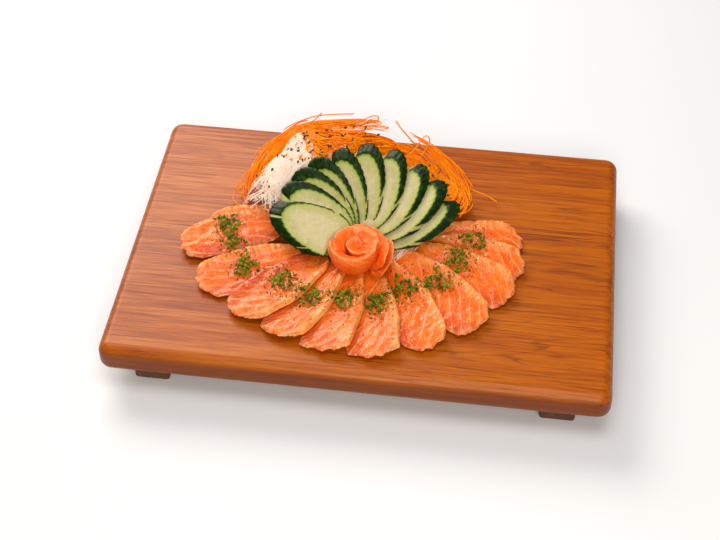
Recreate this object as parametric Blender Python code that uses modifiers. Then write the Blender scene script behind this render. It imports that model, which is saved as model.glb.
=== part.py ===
"""Salmon tataki platter: a wooden serving board with a fan of salmon slices, a salmon
rose, a cucumber fan, two heaps of shredded vegetable and tufts of chopped chives.

Frame: origin on the ground under the middle of the board, X along the board, Y away
from the diner, Z up. Lengths below are in millimetres and angles in degrees; MM turns
them into Blender's metres.
"""
import math

import bpy
import bmesh

MM = 0.001

# Board and its two battens
BOARD = (300.0, 210.0, 17.0)
BOARD_ROUNDING = 6.3
FOOT = (21.0, 194.0, 14.0)
FOOT_SPACING = 241.0
FOOT_ROUNDING = 2.0
GAP = 0.3
BOARD_TOP = FOOT[2] + BOARD[2]

# Salmon fan: each slice lies over its neighbour, from the fourth one outwards both ways
HUB = (-8.0, 2.0)
SLICE_THICK = 3.0
SLICE_PITCH = 3.5
SLICE_EDGE_DROP = 1.1
FAN_HALF_WIDTH = 17.5
FAN_HALF_WIDTH_NEAR = 10.0
FAN_NEAR_R = 25.0
FAN_FULL_R = 60.0
TOP_SLICE = 3
# name, angle, swing per mm, inner radius, outer radius, half width, roundness, skew
SLICES = (
    ("salmon_slice_01", -180.5, 0.25, 50.0, 97.0, 14.0, 0.90, 0.00),
    ("salmon_slice_02", -168.0, 0.30, 48.0, 110.0, 15.2, 0.75, 0.00),
    ("salmon_slice_03", -151.5, 0.00, 38.0, 104.5, 16.5, 0.70, 0.16),
    ("salmon_slice_04", -132.0, 0.00, 27.0, 97.0, 16.5, 0.70, 0.22),
    ("salmon_slice_05", -114.0, 0.00, 24.0, 93.5, 16.5, 0.62, 0.22),
    ("salmon_slice_06", -96.0, 0.00, 22.0, 93.0, 16.5, 0.60, 0.14),
    ("salmon_slice_07", -77.5, 0.00, 22.0, 96.0, 17.0, 0.45, 0.02),
    ("salmon_slice_08", -57.5, 0.00, 22.0, 98.0, 17.0, 0.85, -0.04),
    ("salmon_slice_09", -38.0, 0.00, 24.0, 101.0, 17.3, 0.80, 0.06),
    ("salmon_slice_10", -20.0, 0.00, 26.0, 102.5, 16.8, 0.70, 0.06),
    ("salmon_slice_11", -6.5, 0.00, 30.0, 102.5, 16.8, 0.70, 0.00),
    ("salmon_slice_12", 8.5, 0.00, 38.0, 100.5, 16.0, 0.75, 0.14),
)

# Chive tufts: angle and radius from the hub, half width
TUFTS = (
    (-179.0, 83.0, 6.0), (-168.0, 78.0, 6.2), (-153.0, 74.0, 6.2), (-133.0, 61.0, 7.2),
    (-113.0, 60.0, 6.6), (-93.5, 55.0, 6.4), (-73.5, 57.5, 6.4), (-52.0, 52.0, 7.6),
    (-34.0, 61.0, 7.0), (-15.0, 64.0, 7.2), (5.0, 70.0, 7.0),
)
TUFT_HEIGHT = 3.6

# Salmon rose: rolled slices around a hollow heart
ROSE = (-8.0, -25.0)
ROSE_BASE = 11.2
ROSE_WALL = 2.6
# name, start angle, end angle, start radius, end radius, height, outward lean
PETALS = (
    ("rose_heart", 20.0, 470.0, 4.6, 8.7, 16.0, 1.0),
    ("rose_back_petal", 20.0, 200.0, 12.2, 11.6, 15.0, 1.0),
    ("rose_front_petal", 165.0, 372.0, 15.4, 12.6, 16.4, 1.2),
    ("rose_right_petal", -30.0, 105.0, 16.6, 15.0, 14.0, 2.0),
    ("rose_outer_petal", -38.0, 12.0, 21.0, 20.6, 11.5, 2.6),
)

# Cucumber fan: bias-cut slices, each over the next one clockwise
FAN = (-4.0, -17.5)
CUCUMBER_THICK = 2.9
CUCUMBER_PITCH = 3.7
CUCUMBER_HALF_LENGTH = 31.3
CUCUMBER_INNER_SHARE = 0.55
CUCUMBER_HALF_WIDTH = 14.6
CUCUMBER_BIAS = 7.5
ROSE_CLEAR = 17.0
ROSE_CLEAR_BAND = 4.0
FAN_TOP = 22.5
FAN_SLOPE = 0.27
FAN_SLOPE_Y = -19.5
FAN_SIDE_DROP = 0.06
# direction of each slice's middle from the fan's pivot, its distance, its long axis
CUCUMBERS = (
    (165.5, 24.3, 157.0), (155.5, 26.4, 143.0), (146.0, 27.6, 131.5), (136.5, 28.6, 119.5),
    (122.5, 29.6, 105.5), (104.5, 30.5, 89.5), (87.0, 30.0, 75.0), (68.5, 28.4, 60.5),
    (52.5, 28.2, 47.0), (39.5, 27.6, 32.0),
)

# Shredded vegetable heaps
HEAP_UNDER_FAN = 18.0
HEAP_LUMPS = 0.06
DAIKON_PEAK = 40.0
CARROT_PEAK = 44.2
CARROT_FALL = 0.3


def polar(centre, radius, angle):
    """Point at a radius and an angle from a centre."""
    turn = math.radians(angle)
    return (centre[0] + radius * math.cos(turn), centre[1] + radius * math.sin(turn))


def polar_of(centre, x, y, seam):
    """Radius and angle of a point; the angle runs from the seam up to the seam + 360."""
    dx = x - centre[0]
    dy = y - centre[1]
    angle = math.degrees(math.atan2(dy, dx))
    return math.hypot(dx, dy), (angle - seam) % 360.0 + seam


def index_at(angle, knots):
    """Fractional place of an angle in a rising list of knots, extended at both ends."""
    last = len(knots) - 2
    for place in range(last + 1):
        if angle < knots[place + 1] or place == last:
            span = knots[place + 1] - knots[place]
            return place + (angle - knots[place]) / span


def soft_max(a, b, width):
    """Larger of two values with a rounded changeover; never below either."""
    return 0.5 * (a + b + math.sqrt((a - b) ** 2 + width ** 2))


def soft_min(a, b, width):
    """Smaller of two values with a rounded changeover; never above either."""
    return -soft_max(-a, -b, width)


def new_material(name, colour, roughness):
    """Plain Principled material."""
    material = bpy.data.materials.new(name)
    material.use_nodes = True
    shader = material.node_tree.nodes["Principled BSDF"]
    shader.inputs["Base Color"].default_value = (*colour, 1.0)
    shader.inputs["Roughness"].default_value = roughness
    shader.inputs["Metallic"].default_value = 0.0
    material.diffuse_color = (*colour, 1.0)
    return material


def add_object(name, mesh, material, collection):
    """Link a finished mesh as one named part."""
    mesh.materials.append(material)
    mesh.shade_smooth()
    mesh.set_sharp_from_angle(angle=math.radians(40.0))
    piece = bpy.data.objects.new(name, mesh)
    collection.objects.link(piece)
    return piece


def rounded_box(name, size, centre, rounding, material, collection):
    """Box primitive with bevelled edges."""
    mesh = bpy.data.meshes.new(name)
    bm = bmesh.new()
    bmesh.ops.create_cube(bm, size=1.0)
    for vert in bm.verts:
        vert.co = [vert.co[axis] * size[axis] * MM for axis in range(3)]
    bm.to_mesh(mesh)
    bm.free()
    piece = add_object(name, mesh, material, collection)
    piece.location = [value * MM for value in centre]
    bevel = piece.modifiers.new("rounding", "BEVEL")
    bevel.width = rounding * MM
    bevel.segments = 3
    bevel.limit_method = "NONE"
    return piece


def slab(name, along, across, place, material, collection):
    """Closed sheet: a grid primitive extruded once. place(u, v, side) gives each
    point in mm, with u and v in -1..1 and side 0 below and 1 above."""
    mesh = bpy.data.meshes.new(name)
    bm = bmesh.new()
    bmesh.ops.create_grid(bm, x_segments=along, y_segments=across, size=1.0)
    raised = bmesh.ops.extrude_face_region(bm, geom=bm.faces[:])
    upper = {item for item in raised["geom"] if isinstance(item, bmesh.types.BMVert)}
    for vert in bm.verts:
        point = place(vert.co.x, vert.co.y, 1 if vert in upper else 0)
        vert.co = [value * MM for value in point]
    bmesh.ops.recalc_face_normals(bm, faces=bm.faces[:])
    bm.to_mesh(mesh)
    bm.free()
    return add_object(name, mesh, material, collection)


def round_off(u, v, roundness):
    """Map the square -1..1 onto a shape between a square (0) and a disc (1)."""
    half = 0.5 * roundness
    return (u * math.sqrt(1.0 - half * v * v), v * math.sqrt(1.0 - half * u * u))


def fan_width(radius):
    """Half width that the salmon fan's slices may have at a radius."""
    share = (radius - FAN_NEAR_R) / (FAN_FULL_R - FAN_NEAR_R)
    share = min(1.0, max(0.0, share))
    return FAN_HALF_WIDTH_NEAR + share * (FAN_HALF_WIDTH - FAN_HALF_WIDTH_NEAR)


def fan_spread(radius):
    """Angle that the half width covers as seen from the hub."""
    return math.degrees(math.asin(min(0.7, fan_width(radius) / max(radius, 1.0))))


def slice_angle(entry, radius):
    """Direction of a slice's middle line at a radius."""
    return entry[1] - entry[2] * (entry[4] - radius)


def right_rise(radius, angle):
    """Layers below a slice on the right-hand side of the fan, counted from the top
    slice: each slice's left edge is on the board and its right edge on the next."""
    knots = [slice_angle(entry, radius) - fan_spread(radius) for entry in SLICES[TOP_SLICE:]]
    count = index_at(angle, knots)
    return soft_min(count, float(len(knots) - 1), 0.25)


def left_rise(radius, angle):
    """The same on the left-hand side, where the slices climb the other way."""
    knots = [
        -(slice_angle(entry, radius) + fan_spread(radius))
        for entry in reversed(SLICES[:TOP_SLICE + 1])
    ]
    count = index_at(-angle, knots)
    return soft_min(count, float(TOP_SLICE), 0.25)


def slice_floor(number, x, y):
    """Height of a slice's underside above the board."""
    radius, angle = polar_of(HUB, x, y, -255.0)
    if number > TOP_SLICE:
        layers = right_rise(radius, angle) - (number - TOP_SLICE)
    elif number < TOP_SLICE:
        layers = left_rise(radius, angle) - (TOP_SLICE - number)
    else:
        layers = soft_max(right_rise(radius, angle), left_rise(radius, angle), 0.3)
    return GAP + SLICE_PITCH * soft_max(layers, 0.0, 0.12)


def salmon_slice(number, material, collection):
    """One slice of the fan: a thin slab with a rounded outline that narrows inwards."""
    name, _, _, inner, outer, half_width, roundness, skew = SLICES[number]
    entry = SLICES[number]
    phase = 1.7 * number

    def place(u, v, side):
        x, y = round_off(u, v, roundness)
        radius = inner + (outer - inner) * 0.5 * (x + 1.0)
        width = min(half_width, fan_width(radius) * half_width / FAN_HALF_WIDTH)
        radius -= skew * y * width * max(0.0, x)
        rim = max(abs(u), abs(v))
        ripple = 1.0 + 0.03 * rim * math.sin(7.0 * u + phase)
        middle = polar(HUB, radius, slice_angle(entry, radius))
        lean = slice_angle(entry, radius) + 90.0 + math.degrees(
            math.atan(math.radians(entry[2]) * radius))
        px, py = polar(middle, y * width * ripple, lean)
        height = slice_floor(number, px, py)
        if side:
            height += SLICE_THICK - (SLICE_EDGE_DROP if rim > 0.99 else 0.0)
        return px, py, BOARD_TOP + height

    slab(name, 11, 6, place, material, collection)


def pile_top(x, y):
    """Height above the board that no slice of the salmon fan passes."""
    radius, angle = polar_of(HUB, x, y, -255.0)
    spread = fan_spread(radius)
    layers = 0.0
    if angle > SLICES[TOP_SLICE][1] - spread:
        edges = [slice_angle(entry, radius) + spread for entry in SLICES[TOP_SLICE:]]
        layers = right_rise(radius, angle) - max(0.0, index_at(angle, edges))
    if angle < SLICES[TOP_SLICE][1] + spread:
        edges = [
            -(slice_angle(entry, radius) - spread)
            for entry in reversed(SLICES[:TOP_SLICE + 1])
        ]
        layers = max(layers, left_rise(radius, angle) - max(0.0, index_at(-angle, edges)))
    return GAP + SLICE_PITCH * (layers + 0.1) + SLICE_THICK


def chive_tuft(number, material, collection):
    """Low mound of chopped chives, lying on the salmon."""
    angle, radius, half_width = TUFTS[number]
    middle = polar(HUB, radius, angle)
    floor = max(
        pile_top(*polar(middle, half_width, 45.0 * step)) for step in range(8)
    )

    def place(u, v, side):
        x, y = round_off(u, v, 1.0)
        lobe = 1.0 + 0.10 * math.sin(3.0 * math.atan2(y, x) + number)
        px = middle[0] + x * half_width * lobe
        py = middle[1] + y * half_width * lobe
        height = min(pile_top(px, py) + GAP, floor + GAP)
        if side:
            height += 0.8 + (TUFT_HEIGHT - 0.8) * max(0.0, 1.0 - x * x - y * y)
        return px, py, BOARD_TOP + height

    slab(f"chive_tuft_{number + 1:02d}", 4, 4, place, material, collection)


def rose_petal(entry, material, collection):
    """A rolled slice of the rose: an upright band on a spiral, leaning outwards."""
    name, start, end, inner, outer, height, lean = entry
    steps = max(8, round((end - start) / 18.0))

    def place(u, v, side):
        share = 0.5 * (u + 1.0)
        rise = 0.5 * (v + 1.0)
        ends = min(share, 1.0 - share)
        radius = inner + (outer - inner) * share
        radius += lean * (rise - 0.35) + (0.5 * ROSE_WALL if side else -0.5 * ROSE_WALL)
        tall = height * (0.80 + 0.20 * min(1.0, 6.0 * ends))
        tall += 0.7 * math.sin(5.0 * share + start)
        px, py = polar(ROSE, radius, start + (end - start) * share)
        return px, py, BOARD_TOP + ROSE_BASE + tall * rise

    slab(name, steps, 2, place, material, collection)


def cucumber_edge(entry, radius):
    """Angle of a cucumber slice's clockwise edge at a radius from the pivot."""
    angle, distance, axis = entry
    along = radius - distance
    twist = math.radians(axis - angle)
    bend = math.degrees(math.atan2(
        along * math.sin(twist), distance + along * math.cos(twist)))
    reach = min(0.95, abs(along) / CUCUMBER_HALF_LENGTH)
    width = CUCUMBER_HALF_WIDTH * math.sqrt(1.0 - reach * reach)
    return angle + bend - math.degrees(math.asin(min(0.8, width / radius)))


def fan_surface(x, y):
    """Sloping surface that the cucumber slices' raised edges reach."""
    return FAN_TOP + FAN_SLOPE * (y - FAN_SLOPE_Y) - FAN_SIDE_DROP * max(0.0, x)


def cucumber_top(number, x, y):
    """Height of a cucumber slice's face: highest at its clockwise edge."""
    radius, angle = polar_of(FAN, x, y, -90.0)
    radius = max(radius, 12.0)
    knots = [-cucumber_edge(entry, radius) for entry in CUCUMBERS]
    count = index_at(-angle, knots)
    count = soft_max(count, -1.2, 0.4)
    count = soft_min(count, 7.9, 0.6)
    return fan_surface(x, y) + CUCUMBER_PITCH * (count - number)


def beside_rose(x, y):
    """Push a point out of the rose's circle, squeezing only a narrow band around it."""
    away = max(0.1, math.hypot(x - ROSE[0], y - ROSE[1]))
    limit = ROSE_CLEAR + ROSE_CLEAR_BAND
    if away >= limit:
        return x, y
    scale = (ROSE_CLEAR + ROSE_CLEAR_BAND * away / limit) / away
    return ROSE[0] + (x - ROSE[0]) * scale, ROSE[1] + (y - ROSE[1]) * scale


def cucumber_slice(number, material, collection):
    """Bias-cut slice: an oval slab whose rind slants out at the outer end. The inner
    half is short, as it ends at the rose."""
    angle, distance, axis = CUCUMBERS[number]
    middle = polar(FAN, distance, angle)

    def place(u, v, side):
        x, y = round_off(u, v, 1.0 if u > 0.0 else 0.6)
        if x < 0.0:
            x *= CUCUMBER_INNER_SHARE
        along = x * CUCUMBER_HALF_LENGTH + (0.0 if side else CUCUMBER_BIAS)
        base = polar(middle, along, axis)
        px, py = beside_rose(*polar(base, y * CUCUMBER_HALF_WIDTH, axis + 90.0))
        height = cucumber_top(number, px, py)
        if not side:
            height -= CUCUMBER_THICK * (0.86 + 0.14 * x)
        return px, py, BOARD_TOP + height

    slab(f"cucumber_slice_{number + 1:02d}", 7, 5, place, material, collection)


def under_fan(x, y):
    """Height of the heaps' surface where the cucumber fan lies on it."""
    radius, angle = polar_of(FAN, x, y, -90.0)
    outside = 6.0 * max(0.0, radius - 68.0) + 2.0 * max(0.0, angle - 196.0)
    return max(2.5, fan_surface(x, y) - HEAP_UNDER_FAN + outside)


def heap(name, along, across, outline, peak, material, collection):
    """Tangled heap with a flat foot on the board: an uneven dome over the outline
    that outline(x, y) makes of the unit disc, kept below the cucumber fan."""

    def place(u, v, side):
        x, y = round_off(u, v, 1.0)
        px, py = outline(x, y)
        if not side:
            return px, py, BOARD_TOP + GAP
        dome = max(0.0, 1.0 - x * x - y * y) ** 0.42
        lumps = 1.0 + HEAP_LUMPS * math.sin(0.37 * px + 0.5) * math.cos(0.31 * py)
        height = min(peak(px, py) * dome * lumps, under_fan(px, py))
        return px, py, BOARD_TOP + GAP + max(1.5, height)

    slab(name, along, across, place, material, collection)


def daikon_outline(x, y):
    """Oval left of the fan, just behind the salmon."""
    return -56.0 + 20.0 * x, 50.0 + 27.0 * y


def daikon_peak(_x, _y):
    return DAIKON_PEAK


def carrot_outline(x, y):
    """Crescent around the back of the fan."""
    angle = 79.0 - (31.0 + 9.0 * y) * x
    reach = 104.0 - 0.0060 * (108.0 - angle) ** 2
    return polar(FAN, 34.0 + (reach - 34.0) * 0.5 * (y + 1.0), angle)


def carrot_peak(x, y):
    """Tallest behind the middle of the fan, lower towards the right-hand end."""
    _, angle = polar_of(FAN, x, y, -90.0)
    return CARROT_PEAK - CARROT_FALL * max(0.0, 90.0 - angle)


def build():
    """The whole platter."""
    for old in list(bpy.data.objects):
        bpy.data.objects.remove(old, do_unlink=True)
    collection = bpy.data.collections.new("salmon_tataki")
    bpy.context.scene.collection.children.link(collection)
    wood = new_material("board_wood", (0.42, 0.17, 0.07), 0.45)
    foot_wood = new_material("foot_wood", (0.16, 0.06, 0.03), 0.6)
    salmon = new_material("salmon_flesh", (0.85, 0.24, 0.08), 0.3)
    cucumber = new_material("cucumber", (0.55, 0.62, 0.30), 0.35)
    carrot = new_material("carrot", (0.85, 0.28, 0.03), 0.45)
    daikon = new_material("daikon", (0.80, 0.70, 0.62), 0.4)
    chives = new_material("chives", (0.10, 0.26, 0.04), 0.5)

    rounded_box("board", BOARD, (0.0, 0.0, FOOT[2] + 0.5 * BOARD[2]), BOARD_ROUNDING,
                wood, collection)
    foot = (FOOT[0], FOOT[1], FOOT[2] - GAP)
    for name, side in (("foot_left", -0.5), ("foot_right", 0.5)):
        rounded_box(name, foot, (side * FOOT_SPACING, 0.0, 0.5 * foot[2]),
                    FOOT_ROUNDING, foot_wood, collection)
    for number in range(len(SLICES)):
        salmon_slice(number, salmon, collection)
    for entry in PETALS:
        rose_petal(entry, salmon, collection)
    for number in range(len(CUCUMBERS)):
        cucumber_slice(number, cucumber, collection)
    heap("daikon_heap", 9, 8, daikon_outline, daikon_peak, daikon, collection)
    heap("carrot_heap", 14, 12, carrot_outline, carrot_peak, carrot, collection)
    for number in range(len(TUFTS)):
        chive_tuft(number, chives, collection)


build()
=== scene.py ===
"""Looks of the salmon tataki platter: wooden board, fan of salmon slices, salmon rose,
cucumber fan, shredded carrot and daikon, chopped chives, chilli and sesame.

Lengths are in millimetres and angles in degrees; MM turns lengths into metres. The
origin is on the ground under the middle of the board, Y runs away from the diner.
"""
import math

import bpy
import numpy as np
from mathutils import Matrix, Vector
from mathutils.bvhtree import BVHTree


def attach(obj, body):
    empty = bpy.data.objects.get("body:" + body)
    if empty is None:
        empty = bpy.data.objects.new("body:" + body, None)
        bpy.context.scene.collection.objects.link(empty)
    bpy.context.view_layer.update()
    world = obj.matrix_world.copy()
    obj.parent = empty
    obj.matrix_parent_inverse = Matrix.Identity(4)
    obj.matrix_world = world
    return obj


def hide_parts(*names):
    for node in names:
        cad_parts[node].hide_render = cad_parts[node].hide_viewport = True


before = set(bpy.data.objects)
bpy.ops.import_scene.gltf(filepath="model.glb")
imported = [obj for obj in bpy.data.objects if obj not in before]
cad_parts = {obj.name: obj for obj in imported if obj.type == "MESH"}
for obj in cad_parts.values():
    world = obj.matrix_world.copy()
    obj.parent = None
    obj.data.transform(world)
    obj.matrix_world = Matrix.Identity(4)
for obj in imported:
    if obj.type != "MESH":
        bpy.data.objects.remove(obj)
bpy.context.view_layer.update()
MM = 0.001
# about one turn in radians, for random directions
FULL_TURN = 6.28


# Camera, floor and light: the platter stands on a pale table in a studio. The main light
# is a large soft window behind it on the left, with softer light from above and in front.
CAMERA_PLACE = (80.1, -645.3, 679.4)
CAMERA_YAW = 7.777
CAMERA_DOWN = 45.786
CAMERA_ROLL = -0.226
CAMERA_LENS = 73.87
FLOOR_SIZE = 8000.0
FLOOR_DEPTH = 0.5
FLOOR_COLOUR = (0.82, 0.855, 0.93)
SKY_COLOUR = (1.00, 0.98, 0.96)
SKY_STRENGTH = 0.12



def add_object(name, data):
    """Put an object with this data into the scene."""
    made = bpy.data.objects.new(name, data)
    bpy.context.collection.objects.link(made)
    return made


camera = add_object("camera", bpy.data.cameras.new("camera"))
camera.data.lens = CAMERA_LENS
camera.data.clip_start = 0.01
camera.data.clip_end = 20.0
camera.matrix_world = (
    Matrix.Translation(Vector(CAMERA_PLACE) * MM)
    @ Matrix.Rotation(math.radians(CAMERA_YAW), 4, "Z")
    @ Matrix.Rotation(math.radians(90.0 - CAMERA_DOWN), 4, "X")
    @ Matrix.Rotation(math.radians(CAMERA_ROLL), 4, "Z")
)
bpy.context.scene.camera = camera
bpy.context.scene.view_settings.view_transform = "Standard"


def new_material(name, roughness, **extra):
    """Principled material; extra values are sockets, with _ for a space."""
    material = bpy.data.materials.new(name)
    material.use_nodes = True
    inputs = material.node_tree.nodes["Principled BSDF"].inputs
    inputs["Roughness"].default_value = roughness
    for key, value in extra.items():
        inputs[key.replace("_", " ")].default_value = value
    return material


def soft_light(name, place, target, size, power, colour):
    """Square area light aimed at a point."""
    light = add_object(name, bpy.data.lights.new(name, "AREA"))
    light.data.shape = "RECTANGLE"
    light.data.size = size[0] * MM
    light.data.size_y = size[1] * MM
    light.data.energy = power
    light.data.color = colour
    aim = (Vector(target) - Vector(place)).to_track_quat("-Z", "Y")
    light.matrix_world = Matrix.Translation(Vector(place) * MM) @ aim.to_matrix().to_4x4()


soft_light("window_light", (-650, 900, 880), (-20, 0, 30), (950, 700), 17.6, (1.0, 0.92, 0.81))
soft_light("top_light", (60, -160, 1250), (0, 0, 30), (700, 700), 6.1, (1.0, 0.95, 0.88))
soft_light("front_fill", (160, -1050, 850), (0, 0, 30), (800, 600), 10.2, (1.0, 0.90, 0.76))

world = bpy.data.worlds.new("studio")
bpy.context.scene.world = world
world.use_nodes = True
sky = world.node_tree.nodes["Background"]
sky.inputs["Color"].default_value = (*SKY_COLOUR, 1.0)
sky.inputs["Strength"].default_value = SKY_STRENGTH

bpy.ops.object.select_all(action="DESELECT")
bpy.ops.mesh.primitive_plane_add(size=FLOOR_SIZE * MM, location=(0.0, 0.0, -FLOOR_DEPTH * MM))
floor = bpy.context.object
floor.name = "floor"
floor.data.materials.append(new_material("pale_table", 0.9, Base_Color=(*FLOOR_COLOUR, 1.0)))


# Board: one plank of oiled brown hardwood with its grain along X, its corners and edges
# rounded by hand. Two dark battens are screwed under it as feet.
BOARD = (300.0, 210.0, 17.0)
BOARD_TOP = 31.0
BOARD_CORNER = 8.0
BOARD_EDGE = 6.3
BOARD_UNDER_EDGE = 4.5
FLAT_FACE_AREA = 1000.0
FLAT_FACE_INSET = 0.6


def select_edges(mesh, chosen):
    """Select the edges whose two end points pass a test."""
    for edge in mesh.edges:
        ends = [mesh.vertices[place].co / MM for place in edge.vertices]
        edge.select = chosen(*ends)


bpy.ops.object.select_all(action="DESELECT")
bpy.ops.mesh.primitive_cube_add(size=1.0)
board = bpy.context.object
board.name = board.data.name = "serving_board"
bpy.ops.object.mode_set(mode="EDIT")
bpy.ops.transform.resize(value=[side * MM for side in BOARD])
middle_height = BOARD_TOP - 0.5 * BOARD[2]
bpy.ops.transform.translate(value=(0.0, 0.0, middle_height * MM))
bpy.ops.mesh.select_mode(type="EDGE")
under_height = BOARD_TOP - BOARD[2] + 0.5
for offset, segments, chosen in (
    (BOARD_CORNER, 6, lambda a, b: abs(a.z - b.z) > 1.0),
    (BOARD_EDGE, 8, lambda a, b: a.z > middle_height and b.z > middle_height),
    (BOARD_UNDER_EDGE, 5, lambda a, b: a.z < under_height and b.z < under_height),
):
    bpy.ops.mesh.select_all(action="DESELECT")
    bpy.ops.object.mode_set(mode="OBJECT")
    select_edges(board.data, chosen)
    bpy.ops.object.mode_set(mode="EDIT")
    bpy.ops.mesh.bevel(offset=offset * MM, segments=segments, affect="EDGES", clamp_overlap=False)
bpy.ops.mesh.select_all(action="SELECT")
bpy.ops.mesh.remove_doubles(threshold=0.02 * MM)
bpy.ops.mesh.normals_make_consistent(inside=False)
bpy.ops.mesh.select_mode(type="FACE")
bpy.ops.mesh.select_all(action="DESELECT")
bpy.ops.object.mode_set(mode="OBJECT")
for face in board.data.polygons:
    face.select = face.area > FLAT_FACE_AREA * MM * MM
bpy.ops.object.mode_set(mode="EDIT")
bpy.ops.mesh.inset(thickness=FLAT_FACE_INSET * MM, use_individual=True)
bpy.ops.object.mode_set(mode="OBJECT")
bpy.ops.object.shade_smooth_by_angle(angle=math.radians(35.0))


def shader_node(material, kind, inputs=None, **settings):
    """Add a shader node; an input is given as a value or as the socket that feeds it."""
    made = material.node_tree.nodes.new(kind)
    for key, value in settings.items():
        setattr(made, key, value)
    for key, value in (inputs or {}).items():
        if isinstance(value, bpy.types.NodeSocket):
            material.node_tree.links.new(value, made.inputs[key])
        else:
            made.inputs[key].default_value = value
    return made


def feed(material, **sources):
    """Link nodes to the material's shader; a socket's name has _ for a space."""
    inputs = material.node_tree.nodes["Principled BSDF"].inputs
    for key, source in sources.items():
        material.node_tree.links.new(source, inputs[key.replace("_", " ")])


def noise(material, place, scale, detail=3.0, roughness=0.5, distortion=0.0):
    """Noise texture value at a place."""
    return shader_node(material, "ShaderNodeTexNoise", {
        "Vector": place, "Scale": scale, "Detail": detail, "Roughness": roughness,
        "Distortion": distortion}).outputs["Fac"]


def ramp(material, value, stops):
    """Colour ramp; stops are (place, colour)."""
    made = shader_node(material, "ShaderNodeValToRGB", {"Fac": value})
    elements = made.color_ramp.elements
    for place, _ in stops[2:]:
        elements.new(place)
    for element, (place, colour) in zip(elements, stops):
        element.position = place
        element.color = (*colour, 1.0)
    return made.outputs["Color"]


def map_range(material, value, low, high, to_low=0.0, to_high=1.0):
    """Smooth step of a value between two limits."""
    return shader_node(material, "ShaderNodeMapRange", {
        "Value": value, "From Min": low, "From Max": high, "To Min": to_low,
        "To Max": to_high}, interpolation_type="SMOOTHSTEP").outputs["Result"]


def patches(material, place, scale, detail, low, high, to_low=0.0, to_high=1.0, roughness=0.5):
    """Soft random patches whose strength runs from one value to another."""
    return map_range(material, noise(material, place, scale, detail, roughness), low, high,
                     to_low, to_high)


def maths(material, operation, *values):
    """Math node of one to three values."""
    return shader_node(material, "ShaderNodeMath", dict(enumerate(values)),
                       operation=operation).outputs[0]


def mix(material, share, below, above):
    """Mix of two colours; each is a socket or three numbers."""
    made = shader_node(material, "ShaderNodeMix", data_type="RGBA")
    for place, value in ((0, share), (6, below), (7, above)):
        if isinstance(value, bpy.types.NodeSocket):
            material.node_tree.links.new(value, made.inputs[place])
        elif place:
            made.inputs[place].default_value = (*value, 1.0)
        else:
            made.inputs[place].default_value = value
    return made.outputs[2]


def lay_over(material, colour, *coats):
    """Colour with coats laid over it in turn; a coat is its share and its colour."""
    for share, tone in coats:
        colour = mix(material, share, colour, tone)
    return colour


def bump(material, height, strength, distance, below=None):
    """Bump of a height; distance in millimetres."""
    inputs = {"Height": height, "Strength": strength, "Distance": distance * MM}
    if below is not None:
        inputs["Normal"] = below
    return shader_node(material, "ShaderNodeBump", inputs).outputs["Normal"]


def axis_of(material, vector, axis):
    """One axis of a vector."""
    return shader_node(material, "ShaderNodeSeparateXYZ", {"Vector": vector}).outputs[axis]


def object_place(material, scale=(1.0, 1.0, 1.0)):
    """Object coordinates in millimetres, stretched by a scale."""
    coordinates = shader_node(material, "ShaderNodeTexCoord").outputs["Object"]
    return shader_node(material, "ShaderNodeMapping", {
        "Vector": coordinates, "Scale": [value / MM for value in scale]}).outputs["Vector"]


def grain(along, across, detail, roughness=0.5, distortion=0.0):
    """Noise drawn out along the plank."""
    return noise(wood, object_place(wood, (along, across, across)), 1.0, detail, roughness,
                 distortion)


wood = new_material("oiled_wood", 0.42, Specular_IOR_Level=0.30)
bands = grain(0.0022, 0.030, 4.0, 0.55, 0.6)
streaks = grain(0.019, 0.50, 5.0, 0.7, 0.3)
grain_lines = grain(0.020, 1.00, 3.0, 0.6, 0.4)
pores = grain(0.075, 2.1, 2.0)
figure = grain(0.0048, 0.062, 3.0, 0.5, 1.0)
figure_line = map_range(wood, maths(wood, "ABSOLUTE", maths(wood, "SUBTRACT", figure, 0.5)),
                        0.022, 0.003)
figure_gaps = map_range(wood, grain(0.02, 0.12, 3.0), 0.42, 0.62, 0.0, 0.6)
line_gaps = map_range(wood, grain(0.006, 0.05, 2.0), 0.4, 0.6, 0.30, 0.95)
pore_mark = map_range(wood, pores, 0.37, 0.27)
# facing feeds a painted shade: faces that turn away from the top, the rounded edges and the sides,
# are painted darker; on the ends this also stands for the darker end grain
facing = axis_of(wood, shader_node(wood, "ShaderNodeNewGeometry").outputs["Normal"], "Z")
wood_colour = lay_over(
    wood,
    ramp(wood, bands, (
        (0.30, (0.30, 0.052, 0.0008)), (0.46, (0.39, 0.079, 0.0010)),
        (0.60, (0.46, 0.109, 0.0018)), (0.75, (0.35, 0.066, 0.0009)))),
    (map_range(wood, streaks, 0.46, 0.70, 0.0, 0.7), (0.57, 0.160, 0.005)),
    (map_range(wood, streaks, 0.50, 0.32, 0.0, 0.6), (0.19, 0.028, 0.0008)),
    (maths(wood, "MULTIPLY", figure_line, figure_gaps), (0.16, 0.026, 0.0045)),
    (maths(wood, "MULTIPLY", map_range(wood, grain_lines, 0.44, 0.34), line_gaps),
     (0.17, 0.024, 0.0015)),
    (maths(wood, "MULTIPLY", pore_mark, 0.62), (0.13, 0.022, 0.004)),
    (map_range(wood, facing, 0.75, 0.10, 0.0, 0.75), (0.13, 0.021, 0.0005)))
feed(wood, Base_Color=wood_colour, Roughness=map_range(wood, streaks, 0.3, 0.7, 0.42, 0.32),
     Normal=bump(wood, pore_mark, -0.3, 0.12, bump(wood, streaks, 0.22, 0.2)))
board.data.materials.append(wood)
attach(board, "root")
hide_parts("board")

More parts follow.
